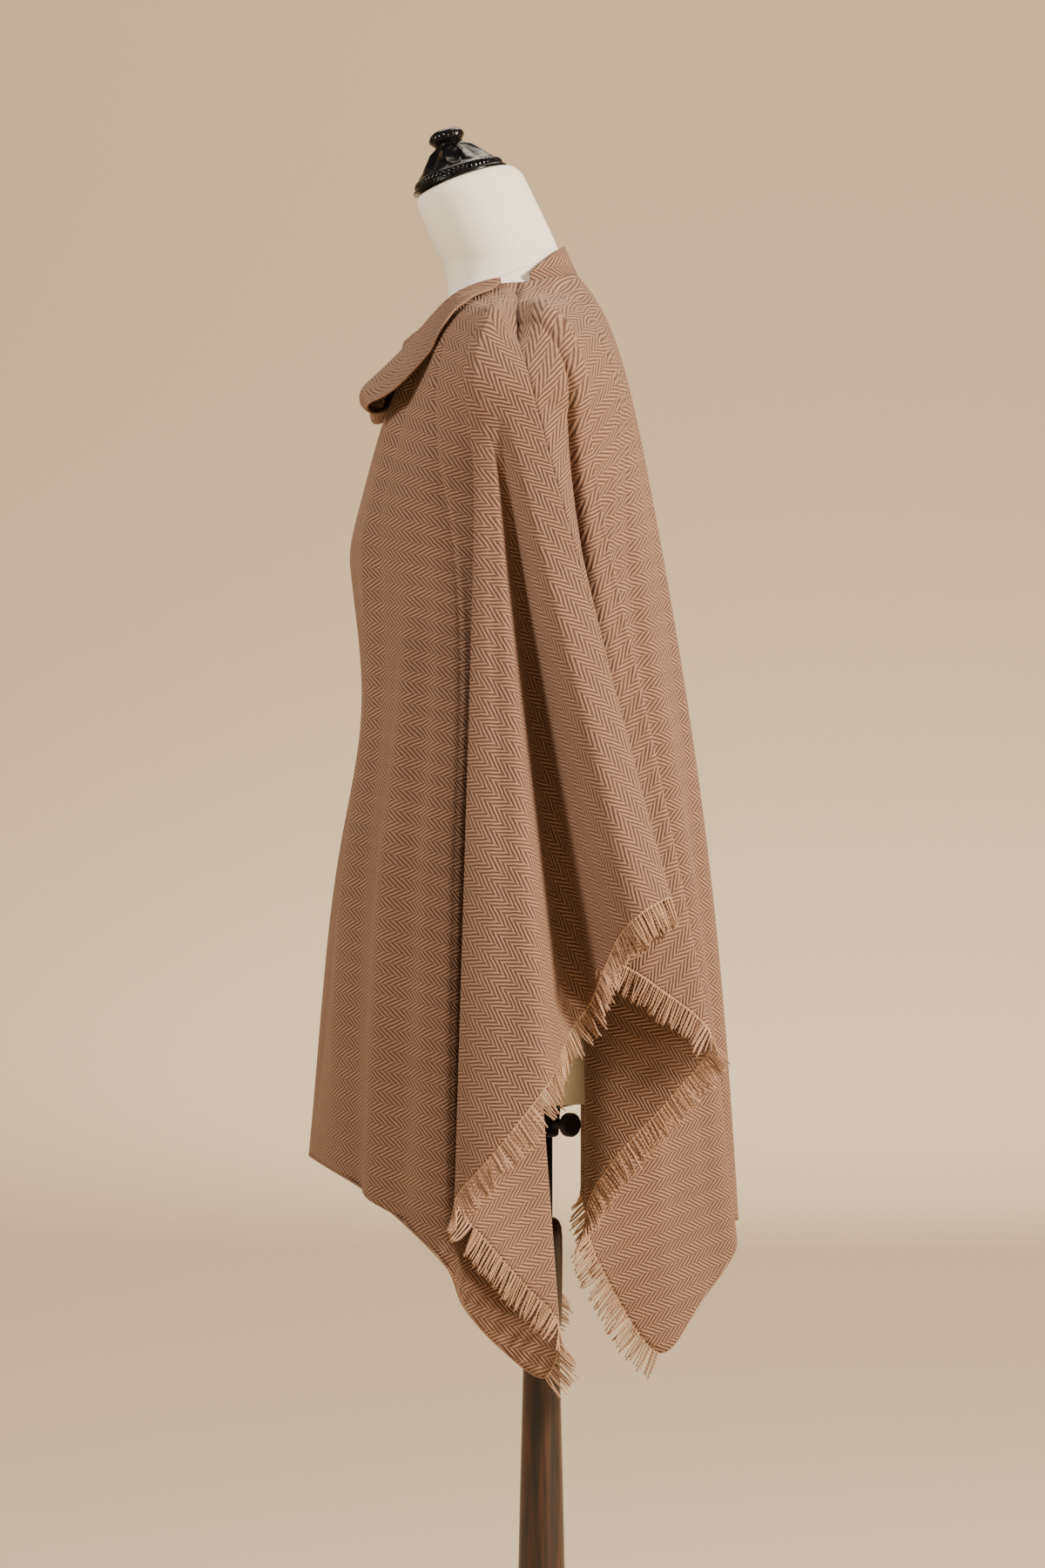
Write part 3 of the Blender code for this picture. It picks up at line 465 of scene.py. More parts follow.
poncho = dict(
    # seats count 0 at the centre front, 1 at the neck side, 2 at the shoulder's end, and down again behind
    wall=2.0 * mm, rest=1.8 * mm, clearance=6.0 * mm, clearRounds=4, edgeFade=10.0 * mm, seamGap=0.04 * mm,
    neckFront=(-118.0 * mm, 1402.0 * mm), neckBack=(36.0 * mm, 1478.0 * mm), neckDip=1.4, restFade=3,
    hangingSeat=1.45, hangingFade=0.35, hungShare=0.9, hungRounds=500, restShare=0.02, rounding=0.05,
    neckSideOut=10.0 * mm, besideSeat=0.82, besideSpan=0.4,
    fanSeats=0.12, fanSpread=34.0 * mm, fanOut=18.0 * mm, swellSeat=1.30, frontSwell=40.0 * mm,
    frontSwellFall=0.9, backSwell=19.0 * mm, backSwellFall=1.15, backSwellFade=0.6,
    waistSag=14.0 * mm, waistHeight=1040.0 * mm, waistSpan=120.0 * mm,
    # seat, and how far the cloth is held off the torso there, mm
    hanging=np.array([
        (1.38, 0), (1.45, 8), (1.49, 18), (1.59, 21), (1.66, 29), (1.73, 33), (1.90, 34)], float),
    # seat, and how far the cloth bellies out sideways half way down, mm
    belly=np.array([
        (0.40, 0), (0.80, 8), (1.10, 23), (1.22, 25), (1.34, 27), (1.46, 24), (1.57, 16), (1.64, 8),
        (1.72, 0)], float),
    perFold=7, rows=150, rowsEase=1.15, shoulderSteps=200, frontCorner=9, backCorner=4, middleY=-30.0 * mm,
    frontFlat=(1.30, 0.85), frontArea=0.98, backFlat=(1.20, 0.95), backArea=0.80,
    # seat on the top edge, then the foot on the hem or fringe, mm
    frontFolds=np.array([
        (0.000, 0, -231, 602), (0.330, 54, -226, 604), (0.660, 104, -203, 596), (0.950, 152, -168, 580),
        (1.080, 202, -132, 556), (1.170, 234, -99, 528), (1.220, 235, -84, 508), (1.270, 217, -74, 478),
        (1.340, 200, -42, 439), (1.410, 193, 2, 408), (1.460, 204, 15, 459), (1.510, 222, -19, 501),
        (1.570, 240, -50, 539), (1.620, 257, -78, 574), (1.660, 268, -77, 592), (1.700, 286, -39, 637),
        (1.740, 286, 1, 689), (1.775, 256, 14, 712), (1.810, 214, 25, 737), (1.850, 206, 45, 764),
        (1.880, 238, 58, 798), (1.910, 273, 73, 833), (1.940, 284, 95, 855), (2.000, 262, 119, 866)], float),
    backFolds=np.array([
        (0.00, 0, 196, 537), (0.34, 37, 164, 541), (0.68, 72, 191, 521), (1.00, 98, 154, 467),
        (1.16, 118, 114, 421), (1.30, 128, 68, 484), (1.43, 142, 42, 553), (1.54, 164, 66, 609),
        (1.64, 184, 122, 673), (1.73, 202, 160, 732), (1.80, 212, 104, 783), (1.87, 218, 60, 814),
        (1.94, 234, 92, 841)], float),
    # creases: seat, lean, middle, half length, width in seats, height in mm (minus is a trough)
    frontCreases=[
        (1.195, 0.0, 0.55, 0.50, 0.040, 5.0), (-1.195, 0.0, 0.55, 0.50, 0.040, 5.0),
        (1.140, 0.02, 0.62, 0.36, 0.022, 1.5), (1.192, 0.01, 0.60, 0.34, 0.019, -1.4),
        (0.985, 0.00, 0.80, 0.38, 0.045, -10.0), (1.075, 0.00, 0.78, 0.38, 0.030, 4.0),
        (-1.010, 0.00, 0.74, 0.36, 0.050, -8.0), (0.80, 0.12, 0.66, 0.40, 0.070, 4.0),
        (0.58, 0.10, 0.58, 0.34, 0.080, -4.0), (0.30, 0.10, 0.66, 0.30, 0.090, 4.5),
        (0.05, 0.08, 0.60, 0.30, 0.080, -3.5), (-0.24, -0.10, 0.62, 0.34, 0.090, 4.0),
        (-0.50, -0.12, 0.55, 0.36, 0.080, -4.5), (-0.74, -0.10, 0.64, 0.38, 0.070, 4.0),
        (-1.165, 0.0, 0.60, 0.36, 0.020, 1.6),
        (1.710, 0.01, 0.66, 0.30, 0.010, 1.6), (1.928, 0.01, 0.60, 0.34, 0.012, -1.6),
        (-1.722, 0.01, 0.62, 0.32, 0.010, 1.6), (-1.925, 0.0, 0.55, 0.34, 0.012, -1.6)],
    backCreases=[
        (1.850, 0.00, 0.58, 0.46, 0.032, -18.0), (-1.845, 0.00, 0.56, 0.44, 0.032, -16.0),
        (0.16, 0.06, 0.60, 0.36, 0.060, -3.5), (0.50, 0.08, 0.52, 0.36, 0.060, 3.5),
        (0.86, 0.06, 0.60, 0.38, 0.050, -3.5), (1.10, 0.05, 0.56, 0.38, 0.040, 3.0),
        (1.36, 0.04, 0.50, 0.36, 0.035, -3.0), (1.60, 0.02, 0.55, 0.34, 0.025, 2.5),
        (1.76, 0.02, 0.60, 0.34, 0.018, -2.5), (-0.20, -0.05, 0.56, 0.36, 0.060, 3.0),
        (-0.54, -0.08, 0.60, 0.36, 0.060, -3.5), (-0.90, -0.05, 0.54, 0.38, 0.050, 3.5),
        (-1.20, -0.05, 0.60, 0.38, 0.040, -3.0), (-1.46, -0.04, 0.52, 0.36, 0.032, 2.5),
        (-1.68, -0.02, 0.56, 0.34, 0.022, -2.5)])


def shoulderLine(share):
    # the shoulder's outline seen from the front, lifted off the torso by half a wall and the rest gap
    z = np.linspace(form["neckSide"], form["shoulderEnd"], poncho["shoulderSteps"])
    half = torsoAt(z)[0]
    tangent = unit(np.stack([np.gradient(half), np.gradient(z)], axis=1))
    points = np.stack([half, np.full_like(half, form["shoulderY"]), z], axis=1)
    points += np.stack([-tangent[:, 1], np.zeros_like(half), tangent[:, 0]], axis=1) * poncho["rest"]
    run = lengthAlong(points)
    return pointsAt(share * run[-1], run, points)


def topEdge(seat, side):
    # a quarter ellipse round the neck for seats up to 1, then along the shoulder
    share = np.clip(seat, 0.0, 1.0)
    neckSide = shoulderLine(np.zeros(1))[0]
    cy = np.where(side < 0, poncho["neckFront"][0], poncho["neckBack"][0])
    cz = np.where(side < 0, poncho["neckFront"][1], poncho["neckBack"][1])
    turn = share * math.pi / 2.0
    neck = np.stack([
        neckSide[0] * np.sin(turn),
        neckSide[1] + (cy - neckSide[1]) * np.cos(turn),
        neckSide[2] + (cz - neckSide[2]) * np.clip(np.cos(turn), 0.0, 1.0) ** poncho["neckDip"]], axis=1)
    gap = poncho["rest"] + (poncho["clearance"] - poncho["rest"]) * (1.0 - share ** poncho["restFade"])
    neck = clearOfBody(neck, side, gap, 1.0 - share)
    return np.where((seat <= 1.0)[:, None], neck, shoulderLine(np.clip(seat - 1.0, 0.0, 1.0)))


def drapedSheet(perFold, t):
    # every column runs straight from its seat to its foot, rounded over the shoulder, swollen a little
    # and pushed clear of the torso; columns between the folds have feet on a smooth curve
    front, back = poncho["frontFolds"], poncho["backFolds"][::-1].copy()
    back[:, 0] = 4.0 - back[:, 0]
    mirror = np.array([-1.0, -1.0, 1.0, 1.0])
    folds = np.concatenate([[front[1] * mirror], front, back, [back[-2] * mirror + (8.0, 0.0, 0.0, 0.0)]])
    numbers = np.arange(len(folds)) - 1.0
    columns = np.linspace(0.0, len(folds) - 3.0, (len(folds) - 3) * perFold + 1)
    counts = np.interp(columns, numbers, folds[:, 0])
    feet = smoothThrough(numbers, folds[:, 1:] * mm, columns)
    seat = np.minimum(counts, 4.0 - counts)
    side = np.where(counts < 2.0, -1.0, 1.0)
    top = topEdge(seat, side)
    t = t[:, None]
    path = top + (feet - top) * t[:, :, None]
    away = (1.0 - np.exp(-t / poncho["rounding"])) * (1.0 - t)
    quick = (1.0 - np.exp(-t / poncho["restShare"])) * (1.0 - t)
    fromEnd = np.minimum((2.0 - seat) / poncho["fanSeats"], 1.0)
    out = np.interp(seat, poncho["hanging"][:, 0], poncho["hanging"][:, 1]) * mm
    beside = np.sin(math.pi * np.clip((seat - poncho["besideSeat"]) / poncho["besideSpan"], 0.0, 1.0))
    path[..., 0] += poncho["fanOut"] * (1.0 - fromEnd) * away + poncho["neckSideOut"] * beside * quick
    belly = np.where(side < 0, np.interp(seat, poncho["belly"][:, 0], poncho["belly"][:, 1]) * mm, 0.0)
    path[..., 0] += belly * np.sin(math.pi * t)
    path[..., 1] += side * poncho["fanSpread"] * np.sin(fromEnd * math.pi / 2.0) * away
    fade = np.clip(1.0 - seat / 2.0, 0.0, 1.0) ** poncho["backSwellFade"]
    backSwell = poncho["backSwell"] * np.sin(math.pi * t ** poncho["backSwellFall"]) * fade
    besideNeck = np.sin(math.pi * np.minimum(seat / poncho["swellSeat"], 1.0)) * np.minimum(seat, 1.0) ** 2
    frontSwell = poncho["frontSwell"] * np.sin(math.pi * t ** poncho["frontSwellFall"]) * besideNeck
    waist = bell(path[..., 2], poncho["waistHeight"], poncho["waistSpan"])
    sag = poncho["waistSag"] * waist * np.clip(poncho["swellSeat"] - seat, 0.0, 1.0)
    path[..., 1] += np.where(side > 0, backSwell, sag - frontSwell)
    settled = np.clip(t / poncho["restShare"], 0.0, 1.0)
    gap = poncho["rest"] + (poncho["clearance"] - poncho["rest"]) * settled + out * away
    alongY = np.clip((poncho["hangingSeat"] - seat) / poncho["hangingFade"], 0.0, 1.0)
    cleared = clearOfBody(path, side, gap, alongY)
    cleared[0] = path[0]
    return cleared, counts


def fitTogether(start, across, down, acrossWeight, downWeight, rounds):
    # places whose differences come closest to the wanted steps: least squares by conjugate gradients
    def gather(a, d):
        total = np.zeros_like(start)
        total[:, 1:] += a * acrossWeight
        total[:, :-1] -= a * acrossWeight
        total[1:] += d * downWeight
        total[:-1] -= d * downWeight
        return total

    place = start.copy()
    left = gather(across - np.diff(place, axis=1), down - np.diff(place, axis=0))
    way, size = left.copy(), np.sum(left * left)
    for _ in range(rounds):
        moved = gather(np.diff(way, axis=1), np.diff(way, axis=0))
        share = size / np.sum(way * moved)
        place += share * way
        left -= share * moved
        now = np.sum(left * left)
        way = left + way * (now / size)
        size = now
    return place


def turned(first, second, angle):
    c, s = np.cos(angle), np.sin(angle)
    return np.stack([first * c - second * s, first * s + second * c], axis=-1)


def flatPlaces(grid):
    # the cloth laid flat: steps along and across the columns, turned by how far each column has swung
    # from the ridge, fitted together; the swing is shared out so that the bands reach the centre level
    way = unit(np.gradient(grid, axis=0))
    move = np.diff(grid, axis=1)
    mean = unit(way[:, 1:] + way[:, :-1])
    along = np.sum(move * mean, axis=2)
    aside = move - mean * along[..., None]
    wide = np.linalg.norm(aside, axis=2)
    swing = np.sum((way[:, 1:] - way[:, :-1]) * unit(aside), axis=2)
    none = np.zeros((len(grid), 1))
    turn = np.concatenate([none, np.cumsum(swing, axis=1)], axis=1)
    wanted = weave["bandTurn"] + math.pi / 2.0
    missing = wanted - turn[:, -1:]
    run = np.concatenate([none, np.cumsum(wide, axis=1)], axis=1)
    turn = turn + missing * run / run[:, -1:]
    length = np.linalg.norm(np.diff(grid, axis=0), axis=2)
    across = turned(along, wide, (turn[:, 1:] + turn[:, :-1]) / 2.0)
    down = turned(length, 0.0 * length, (turn[1:] + turn[:-1]) / 2.0)
    tall = np.gradient(lengthAlong(grid), axis=0)
    acrossWeight = (tall[:, 1:] + tall[:, :-1]) / 2.0 / np.linalg.norm(move, axis=2)
    broad = np.concatenate([wide[:, :1], (wide[:, 1:] + wide[:, :-1]) / 2.0, wide[:, -1:]], axis=1)
    downWeight = (broad[1:] + broad[:-1]) / 2.0 / length
    weights = [np.clip(w, *weave["fitWeights"])[..., None] for w in (acrossWeight, downWeight)]
    start = np.concatenate([np.zeros((1, 1, 2)), np.cumsum(down[:, :1], axis=0)])
    start = np.concatenate([start, start + np.cumsum(across, axis=1)], axis=1)
    return fitTogether(start, across, down, *weights, weave["fitRounds"])


def weavePlaces(grid, counts):
    # flat places turned to the bands, which meet their mirror image at the centre line
    flat = flatPlaces(grid)
    c, s = math.cos(weave["bandTurn"]), math.sin(weave["bandTurn"])
    across = flat[..., 1] * c - flat[..., 0] * s
    along = flat[..., 0] * c + flat[..., 1] * s
    middle = along[:, -1:]
    along = along - middle.mean() - (middle - middle.mean()) * (1.0 - np.abs(counts - counts[-1]) / 2.0)
    return np.stack([across, along], axis=-1)


def bothHalves(left):
    # the left half with its mirror image, the centre column shared
    return np.concatenate([left[:, :0:-1] * flipX, left], axis=1)


def bothPlaces(left):
    return np.concatenate([left[:, :0:-1] * np.array([1.0, -1.0]), left], axis=1)


def creased(grid, seats, table):
    # soft troughs and ridges: depth * exp(-((seat - line) / wide)^2) * exp(-((t - middle) / half length)^4)
    t = np.linspace(0.0, 1.0, len(grid))[:, None]
    push = np.zeros(grid.shape[:2])
    for seat, lean, middle, half, wide, deep in table:
        line = seat + lean * (t - middle)
        push += deep * mm * np.exp(-((seats - line) / wide) ** 2 - ((t - middle) / half) ** 4)
    return grid + gridNormals(grid) * push[..., None]


def giveWall(piece):
    # the cloth's thickness, half of it to either side
    thick = piece.modifiers.new("wall", "SOLIDIFY")
    thick.thickness = poncho["wall"]
    thick.offset = 0.0


def buildPanel(name, node, left, places, seats, creases):
    # left runs from the centre line out to the ridge; creases count seats from the centre, minus on the right
    seats = np.concatenate([-seats[:0:-1], seats])[None]
    grid = creased(bothHalves(left), seats, creases)
    faces = gridFaces(*grid.shape[:2])
    row, column = grid.shape[0] // 2, grid.shape[1] // 2
    middle = grid[row, column]
    outward = middle - np.array([0.0, poncho["middleY"], middle[2]])
    if np.dot(gridNormals(grid)[row, column], outward) > 0.0:
        faces = faces[:, ::-1]
    piece = putMesh(name, grid, faces, wool, uv=bothPlaces(places))
    giveWall(piece)
    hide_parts(node)


rowsDown = np.linspace(0.0, 1.0, poncho["rows"]) ** poncho["rowsEase"]
sheet, counts = drapedSheet(poncho["perFold"], rowsDown)
ridge = (len(poncho["frontFolds"]) - 1) * poncho["perFold"]
firstFront = poncho["frontCorner"] * poncho["perFold"]
lastBack = sheet.shape[1] - 1 - poncho["backCorner"] * poncho["perFold"]
aside = unit(np.gradient(sheet, axis=1)[:, ridge]) * poncho["seamGap"] / 2.0
frontHalf, backHalf = sheet[:, :ridge + 1].copy(), sheet[:, ridge:].copy()
frontHalf[1:, -1] -= aside[1:]
backHalf[1:, 0] += aside[1:]
frontHalf[0, :, 1] -= poncho["seamGap"] / 2.0
backHalf[0, :, 1] += poncho["seamGap"] / 2.0
frontPlaces = weavePlaces(frontHalf[:, ::-1], counts[ridge::-1])[:, ::-1]
backPlaces = weavePlaces(backHalf, counts[ridge:])[:, ::-1]
buildPanel(
    "frontPanel", "front_panel", frontHalf, frontPlaces, counts[:ridge + 1], poncho["frontCreases"])
buildPanel(
    "backPanel", "back_panel", backHalf[:, ::-1], backPlaces, 4.0 - counts[:ridge - 1:-1],
    poncho["backCreases"])
print("panels made")

# the turned-down front neck

lapel = dict(
    # place from the centre front to the neck side, rise mm, reach mm, lean, curl
    stations=np.array([
        (0.00, 9, 135, 0.74, 1.00), (0.16, 9, 128, 0.72, 0.88), (0.25, 8, 114, 0.69, 0.55),
        (0.34, 4, 100, 0.65, 0.15), (0.42, 2, 95, 0.60, 0.00), (0.52, 1, 88, 0.56, 0.00),
        (0.72, 0, 52, 0.56, 0.00), (0.84, 0, 20, 0.60, 0.00), (0.90, 0, 3, 0.60, 0.00)], float),
    roll=5.0 * mm, curl=15.0 * mm, curlTurn=math.radians(255.0), clearance=27.0 * mm,
    clearFade=1.2, gap=0.6 * mm, columns=60, rows=110, steps=240, least=1e-6, bias=0.35)


def neckRoot(places, counts, grid):
    # points of the neck edge, moved up square to it by the seam's gap
    root, below = [pointsAt(places, counts, row) for row in grid[:2]]
    along = unit(np.gradient(root, axis=0))
    up = root - below
    up -= along * np.sum(up * along, axis=1, keepdims=True)
    return root + unit(up) * lapel["gap"]


def resampled(paths, share):
    # points at even shares of each path's length
    run = lengthAlong(paths, axis=1)
    run /= run[:, -1:]
    return np.array([pointsAt(share, r, p) for r, p in zip(run, paths)])


def lapelGrid():
    # the heading turns from straight up, over the roll, down the chest and into the curl; the path is its sum
    s = lapel["stations"]
    place = np.linspace(0.0, s[-1, 0], lapel["columns"])
    rise, reach, lean, curl = [smoothThrough(s[:, 0], s[:, k], place) for k in (1, 2, 3, 4)]
    curl = np.maximum(curl, 0.0)
    root = neckRoot(place, counts[:ridge], sheet[:, :ridge])
    falling = math.pi - np.arcsin(lean)
    curled = curl * lapel["curlTurn"]
    inCurl = curled * lapel["curl"]
    parts = np.stack([
        rise * mm, lapel["roll"] * falling, np.maximum(reach * mm - inCurl, 0.0),
        inCurl + lapel["least"]], axis=1)
    marks = np.concatenate([np.zeros((len(place), 1)), np.cumsum(parts, axis=1)], axis=1)
    run = np.linspace(0.0, 1.0, lapel["steps"]) * marks[:, -1:]
    ends = np.stack([0.0 * place, 0.0 * place, falling, falling, falling + curled], axis=1)
    heading = np.array([np.interp(r, m, e) for r, m, e in zip(run, marks, ends)])
    step = run[:, 1:2]
    out = np.cumsum(np.sin(heading), axis=1) * step
    up = np.cumsum(np.cos(heading), axis=1) * step
    turn = place * math.pi / 2.0
    outward = np.stack([np.sin(turn), -np.cos(turn), 0.0 * turn], axis=1)
    path = root[:, None] + outward[:, None] * (out - out[:, :1])[..., None]
    path[..., 2] += up - up[:, :1]
    share = np.clip(run / (marks[:, 2:3] + lapel["roll"]), 0.0, 1.0)
    share = share * (1.0 - place[:, None]) ** lapel["clearFade"]
    gap = poncho["clearance"] + (lapel["clearance"] - poncho["clearance"]) * share
    for _ in range(poncho["clearRounds"]):
        distance, away = bodyDistance(path[:, 1:])
        path[:, 1:] += away * np.maximum(gap[:, 1:] - distance, 0.0)[..., None]
    return resampled(path, np.linspace(0.0, 1.0, lapel["rows"])).transpose(1, 0, 2)


def buildLapel():
    left = lapelGrid()
    run = lengthAlong(left)
    wide = lengthAlong(left[left.shape[0] // 2])
    places = np.stack([run + lapel["bias"] * wide, np.broadcast_to(wide, run.shape)], axis=-1)
    grid = bothHalves(left)
    piece = putMesh("frontLapel", grid, gridFaces(*grid.shape[:2]), wool, uv=bothPlaces(places))
    giveWall(piece)
    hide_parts("front_lapel")
    return grid


lapelSheet = buildLapel()

neckBand = dict(height=32.0 * mm, endHeight=3.0 * mm, end=0.86, lean=math.radians(24.0), columns=60, rows=14)


def buildNeckBand():
    # root + rise * lean, the rise falling from the centre back to the ends as a cosine
    place = np.linspace(0.0, neckBand["end"], neckBand["columns"])
    root = neckRoot(place, (4.0 - counts)[:ridge:-1], sheet[:, :ridge:-1])
    middle = np.cos(place * math.pi / 2.0)[:, None]
    height = neckBand["endHeight"] + (neckBand["height"] - neckBand["endHeight"]) * middle
    lean = np.array([0.0, -math.sin(neckBand["lean"]), math.cos(neckBand["lean"])])
    up = np.linspace(0.0, 1.0, neckBand["rows"])[:, None, None]
    left = root + height * up * (lean * middle + np.array([0.0, 0.0, 1.0]) * (1.0 - middle))
    run = lengthAlong(left)
    places = np.stack([run, np.broadcast_to(lengthAlong(left[0]), run.shape)], axis=-1)
    grid = bothHalves(left)
    faces = gridFaces(*grid.shape[:2])[:, ::-1]
    piece = putMesh("backNeckBand", grid, faces, wool, uv=bothPlaces(places))
    giveWall(piece)
    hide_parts("back_neck_band")
    return grid


bandSheet = buildNeckBand()

cord = dict(
    step=2.5 * mm, fewest=8, sides=7, reference=np.array([[0.05, 0.1, 1.0]]), dark=0.05, pale=0.9,
    lapel=1.2 * mm, hem=1.1 * mm, seam=0.6 * mm, seamRow=3, seamOut=1.2 * mm)


def buildCord(name, path, radius, tint):
    # a twisted thread laid along a path; its twist counts round and along
    run = lengthAlong(path)
    at = np.linspace(0.0, run[-1], max(int(run[-1] / cord["step"]), cord["fewest"]))
    body, faces = tubes(pointsAt(at, run, path)[None], radius, cord["sides"], cord["reference"])
    places = twistPlaces(cord["sides"], at)
    putMesh(name, body, faces, yarn, uv=places, tint=np.full(len(body), tint))


hemFront = np.concatenate([frontHalf[-1, firstFront::-1] * flipX, frontHalf[-1, :firstFront + 1]])
hemLeft = backHalf[-1, lastBack - ridge:]
hemBack = np.concatenate([hemLeft * flipX, hemLeft[::-1]])
seamLine = bandSheet[cord["seamRow"]] + gridNormals(bandSheet)[cord["seamRow"]] * cord["seamOut"]
buildCord("lapelEdge", lapelSheet[-1], cord["lapel"], cord["dark"])
buildCord("frontHem", hemFront, cord["hem"], cord["dark"])
buildCord("backHem", hemBack, cord["hem"], cord["dark"])
buildCord("bandSeam", seamLine, cord["seam"], cord["pale"])
print("neck made")

# fringe

# how far apart the real strands lie wasn't measured; these are coarse enough to show in the render
fringe = dict(
    length=26.5 * mm, lengthSpread=0.07, spacing=2.15 * mm, jitter=0.3, squareShare=0.7, rootDepth=1.2 * mm,
    radius=0.8 * mm, taper=0.25, sides=6, steps=9, layer=0.6 * mm, tints=(0.05, 0.7),
    clumpChance=0.3, pull=(0.15, 0.6), clumpSway=0.9 * mm, sway=0.8 * mm, clumpLift=1.3 * mm, lift=0.7 * mm,
    waves=7.0, wavePhase=6.28, waveSize=0.5 * mm, cord=1.0 * mm, cordSides=6, cordSteps=260, cordTint=0.8)


def buildFringe(name, node, edge, mirrored, seed):
    # strand = root + length * (square to the edge * share + fall of the cloth * rest) + a slow wave, with the
    # tips drawn together in clumps; a cord runs along the roots
    points, fall = edge[-1], unit(edge[-1] - edge[-3])
    along = unit(np.gradient(points, axis=0))
    facing = unit(np.cross(along, fall))
    run = lengthAlong(points)
    number = int(run[-1] / fringe["spacing"])
    dice = np.random.default_rng(seed)
    jitter = dice.uniform(-fringe["jitter"], fringe["jitter"], number)
    at = (np.arange(number) + 0.5 + jitter) * run[-1] / number
    root, drop, face, edgeWay = [pointsAt(at, run, v) for v in (points, fall, facing, along)]
    face, edgeWay = unit(face), unit(edgeWay)
    square = unit(drop - edgeWay * np.sum(drop * edgeWay, axis=1, keepdims=True))
    way = unit(square * fringe["squareShare"] + drop * (1.0 - fringe["squareShare"]))
    clump = np.cumsum(dice.uniform(0.0, 1.0, number) < fringe["clumpChance"])
    clumps = clump[-1] + 1
    centre = np.bincount(clump, at) / np.maximum(np.bincount(clump), 1)
    pull = (centre[clump] - at) * dice.uniform(*fringe["pull"], number)
    sway = dice.normal(0.0, fringe["clumpSway"], clumps)[clump] + dice.normal(0.0, fringe["sway"], number)
    lift = dice.normal(0.0, fringe["clumpLift"], clumps)[clump] + dice.normal(0.0, fringe["lift"], number)
    length = fringe["length"] * (1.0 + dice.normal(0.0, fringe["lengthSpread"], number))
    t = np.linspace(0.0, 1.0, fringe["steps"])
    layer = np.where(np.arange(number) % 2 == 0, fringe["layer"], -fringe["layer"])
    phase = dice.uniform(0.0, fringe["wavePhase"], number)
    wave = np.sin(t * fringe["waves"] + phase[:, None]) * fringe["waveSize"] * t
    reach = length[:, None] * t
    paths = root[:, None] + way[:, None] * (reach - fringe["rootDepth"])[..., None]
    paths += edgeWay[:, None] * ((pull + sway)[:, None] * t ** 1.5 + wave)[..., None]
    paths += face[:, None] * (layer[:, None] + lift[:, None] * t ** 2)[..., None]
    thin = fringe["radius"] * (1.0 - fringe["taper"] * t ** 3)
    body, faces = tubes(paths, thin[None], fringe["sides"], face)
    tint = np.repeat(dice.uniform(*fringe["tints"], number), fringe["steps"] * fringe["sides"])
    cordAt = np.linspace(0.0, run[-1], fringe["cordSteps"])
    edgeCord = tubes(pointsAt(cordAt, run, points)[None], fringe["cord"], fringe["cordSides"], face[:1])
    places = (twistPlaces(fringe["sides"], reach), twistPlaces(fringe["cordSides"], cordAt))
    uv = np.concatenate([p.reshape(-1, 2) for p in places])
    tint = np.concatenate([tint, np.full(len(edgeCord[0]), fringe["cordTint"])])
    body, faces = joined(body, faces, *edgeCord)
    if mirrored:
        body = body * flipX
        faces = [f[::-1] for f in faces]
    piece = putMesh(name, body, faces, yarn, uv=uv, tint=tint)
    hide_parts(node)


buildFringe("fringeLeftFront", "fringe_left_front", sheet[:, firstFront:ridge + 1], False, 11)
buildFringe("fringeRightFront", "fringe_right_front", sheet[:, firstFront:ridge + 1], True, 12)
buildFringe("fringeLeftBack", "fringe_left_back", sheet[:, ridge:lastBack + 1], False, 13)
buildFringe("fringeRightBack", "fringe_right_back", sheet[:, ridge:lastBack + 1], True, 14)
print("fringe made")

# cap, clamp and stand


def turnedPiece(name, node, profile, sides, finish, place=None):
    # a profile of (radius, height) spun about Z
    profile = np.array(profile, float) * mm
    a = np.arange(sides) * 2.0 * math.pi / sides
    grid = np.stack(np.broadcast_arrays(
        profile[:, :1] * np.cos(a), profile[:, :1] * np.sin(a), profile[:, 1:]), axis=-1)
    if place is not None:
        grid = place(grid)
    piece = putMesh(name, grid, spunFaces(len(profile), sides), finish)
    piece.data.set_sharp_from_angle(angle=stand["sharp"])
    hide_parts(node)


stand = dict(
    # radius and height down each turned profile, mm
    collar=[(33.2, 659.4), (34, 658.6), (34, 653), (33, 652), (21, 649.5), (19, 648), (18.4, 640),
            (17.4, 625), (17, 622), (16, 620.6), (14.3, 620)],
    rod=[(10.6, 619.7), (11, 619), (11, 541), (10.6, 540.3)],
    pole=[(9, 540), (12.5, 539.6), (15, 538.4), (18, 535), (20, 530), (20.8, 520), (21, 505), (20.8, 470),
          (20.2, 436), (19.6, 431), (17, 427.5), (15, 424), (14.6, 419), (15, 414), (17, 410.6), (18, 408),
          (18.6, 385), (20, 330), (21.6, 265), (23, 200), (24.3, 155), (25, 120), (24.2, 106), (22, 97),
          (22, 96), (26.4, 92.6), (29.2, 89.4), (30.2, 85), (30.4, 82), (30.2, 79), (29.2, 74.8), (26.4, 71),
          (24, 68.4), (24, 66), (25, 58), (26, 42.3)],
    base=[(56, 42), (60, 41.6), (64, 40), (72, 37), (74.6, 35), (76, 32.4), (79, 30), (84, 29.2), (120, 27.4),
          (150, 25.6), (174, 22.6), (186, 19), (190.6, 15), (192, 11), (191.6, 4), (190, 0)],
    screw=[(10, 26), (11.2, 25.4), (12, 24), (12, 18.4), (11, 16.6), (8, 15), (6, 14), (5, 13), (5, 0)],
    screwSeat=18.6 * mm, screwTurn=math.radians(45.0), screwHeight=634.0 * mm,
    sharp=math.radians(42.0))


